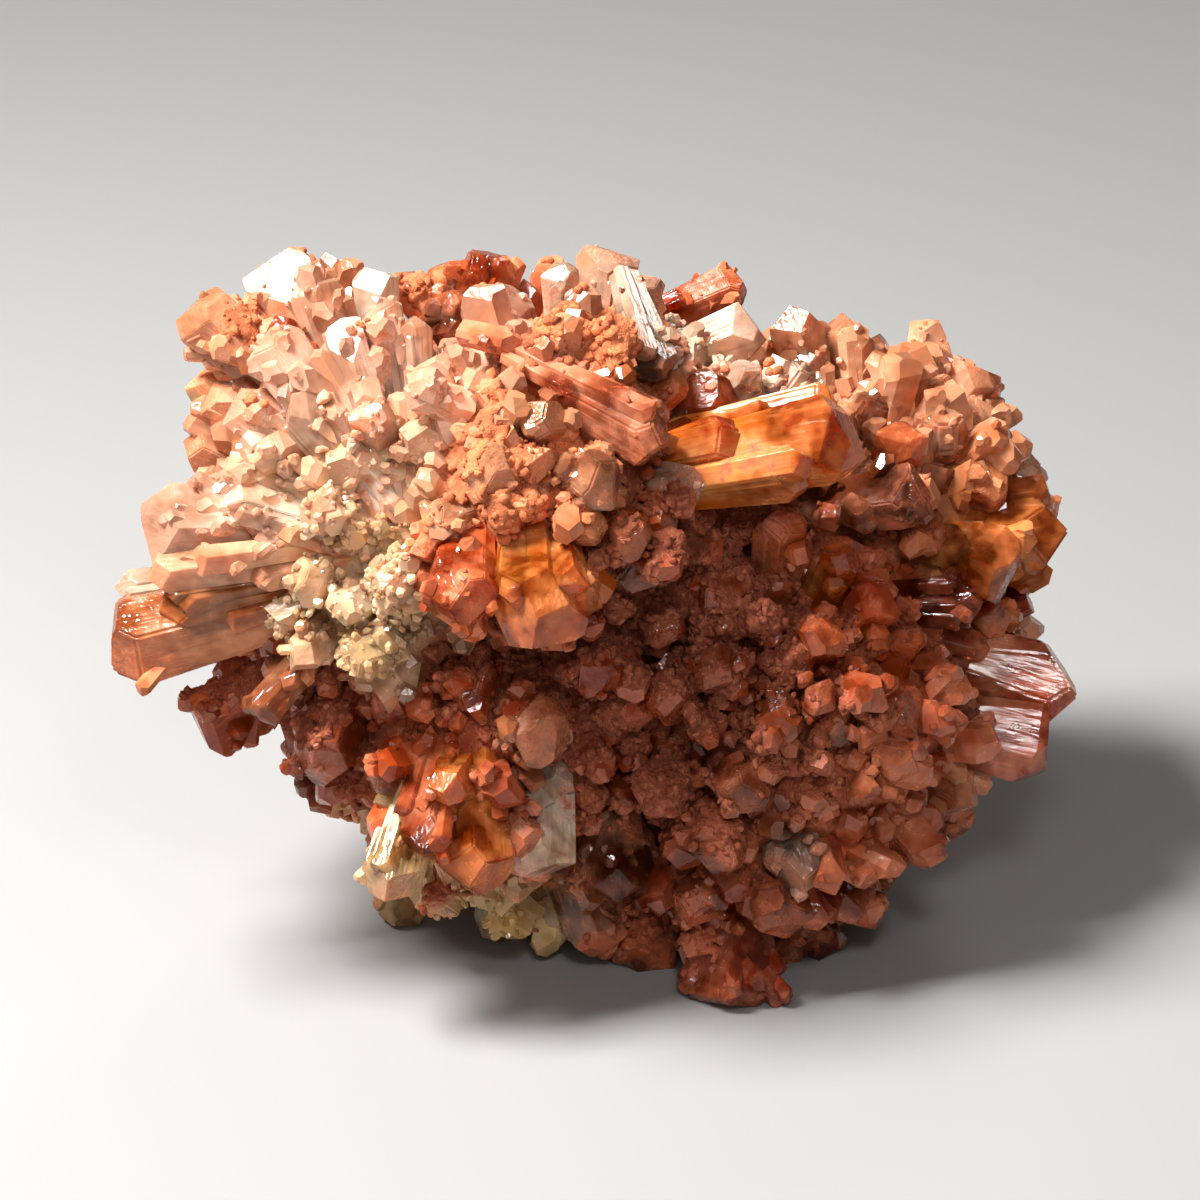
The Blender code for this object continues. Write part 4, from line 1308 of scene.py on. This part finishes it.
# %% Scatter the crumbs
def crumb_shapes():
    """Rough lumps, 1 mm across: twenty faces each, pushed about."""
    collection = bpy.data.collections.new("crumb_shapes")
    rng = random.Random(8)
    for number in range(8):
        bm = bmesh.new()
        bmesh.ops.create_icosphere(bm, subdivisions=1, radius=0.5)
        squash = Vector((1, rng.uniform(0.7, 1), rng.uniform(0.6, 0.9)))
        for vert in bm.verts:
            vert.co *= squash * rng.uniform(0.7, 1.25) * MM
        mesh = bpy.data.meshes.new(f"crumb_{number}")
        bm.to_mesh(mesh)
        bm.free()
        mesh.shade_smooth()
        collection.objects.link(bpy.data.objects.new(mesh.name, mesh))
    return collection


def crumb_weight(tree):
    return tree.ramp(crust_field(tree, 1.7), 0.42, 0.9)


crumbs = scatter(
    "crumbs", skin, crumb_shapes(), crumb_weight, 1.5, iron_oxide,
    Spacing=0.2, Density=2.4e7, Seed=9, Upright=1.0, Smallest=0.16, Largest=0.75, Sunk=-0.05,
)
for helper in (first_skin, second_skin, skin):
    bpy.data.objects.remove(helper, do_unlink=True)

# %% Dress the pieces
for piece, finish, slot in (
    (crystal_pieces[0], pale_creedite, "creedite"),
    *((piece, orange_creedite, "creedite") for piece in crystal_pieces[1:]),
    (undergrowth, fine_creedite, "creedite"),
    (stubs, fine_creedite, "creedite"),
    (druse, fine_creedite, "creedite"),
    (sugar, sugar_creedite, "creedite"),
    (ground, iron_oxide, "iron_oxide"),
    (crust, iron_oxide, "iron_oxide"),
    (crumbs, iron_oxide, "iron_oxide"),
):
    piece.data.materials.clear()
    piece.data.materials.append(finish)
    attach(piece, "root")
    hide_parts("crystal_cluster")

# %% [markdown]
# Studio
#
# A pale table top and four soft lamps: a large key from the upper left, a small accent from the upper
# right, which the bright facets on that side mirror, a weak fill from the right and one
# behind, which shines through the edges of the clear crystals.

# %% Studio
floor_mesh = bpy.data.meshes.new("floor")
floor_mesh.from_pydata([(-1, -1, 0), (1, -1, 0), (1, 1, 0), (-1, 1, 0)], [], [(0, 1, 2, 3)])
floor = add_object("floor", floor_mesh)
floor_finish = Shader("floor")
floor_finish.principled.inputs["Base Color"].default_value = (0.30, 0.292, 0.284, 1)
floor_finish.principled.inputs["Roughness"].default_value = 0.8
floor.data.materials.append(floor_finish.material)


def softbox(name, place, size, power, colour=(1, 1, 1)):
    """A square lamp that faces the specimen; place is on the display face, in millimetres."""
    data = bpy.data.lights.new(name, "AREA")
    data.size = size * MM
    data.energy = power
    data.color = colour
    lamp = bpy.data.objects.new(name, data)
    bpy.context.scene.collection.objects.link(lamp)
    lamp.location = spot(*place) * MM
    towards = spot(0, 0, 0) * MM - lamp.location
    lamp.rotation_euler = towards.to_track_quat("-Z", "Y").to_euler()


softbox("key", KEY_PLACE, 70, 1.2)
softbox("accent", ACCENT_PLACE, 28, 0.06)
softbox("fill", (240, 40, 220), 220, 0.08)
softbox("back", (60, 200, -240), 120, 0.4)
world = bpy.data.worlds.new("studio")
world.use_nodes = True
world.node_tree.nodes["Background"].inputs[0].default_value = (1.0, 0.97, 0.94, 1)
world.node_tree.nodes["Background"].inputs[1].default_value = 0.08
bpy.context.scene.world = world
bpy.context.scene.view_settings.view_transform = "Standard"
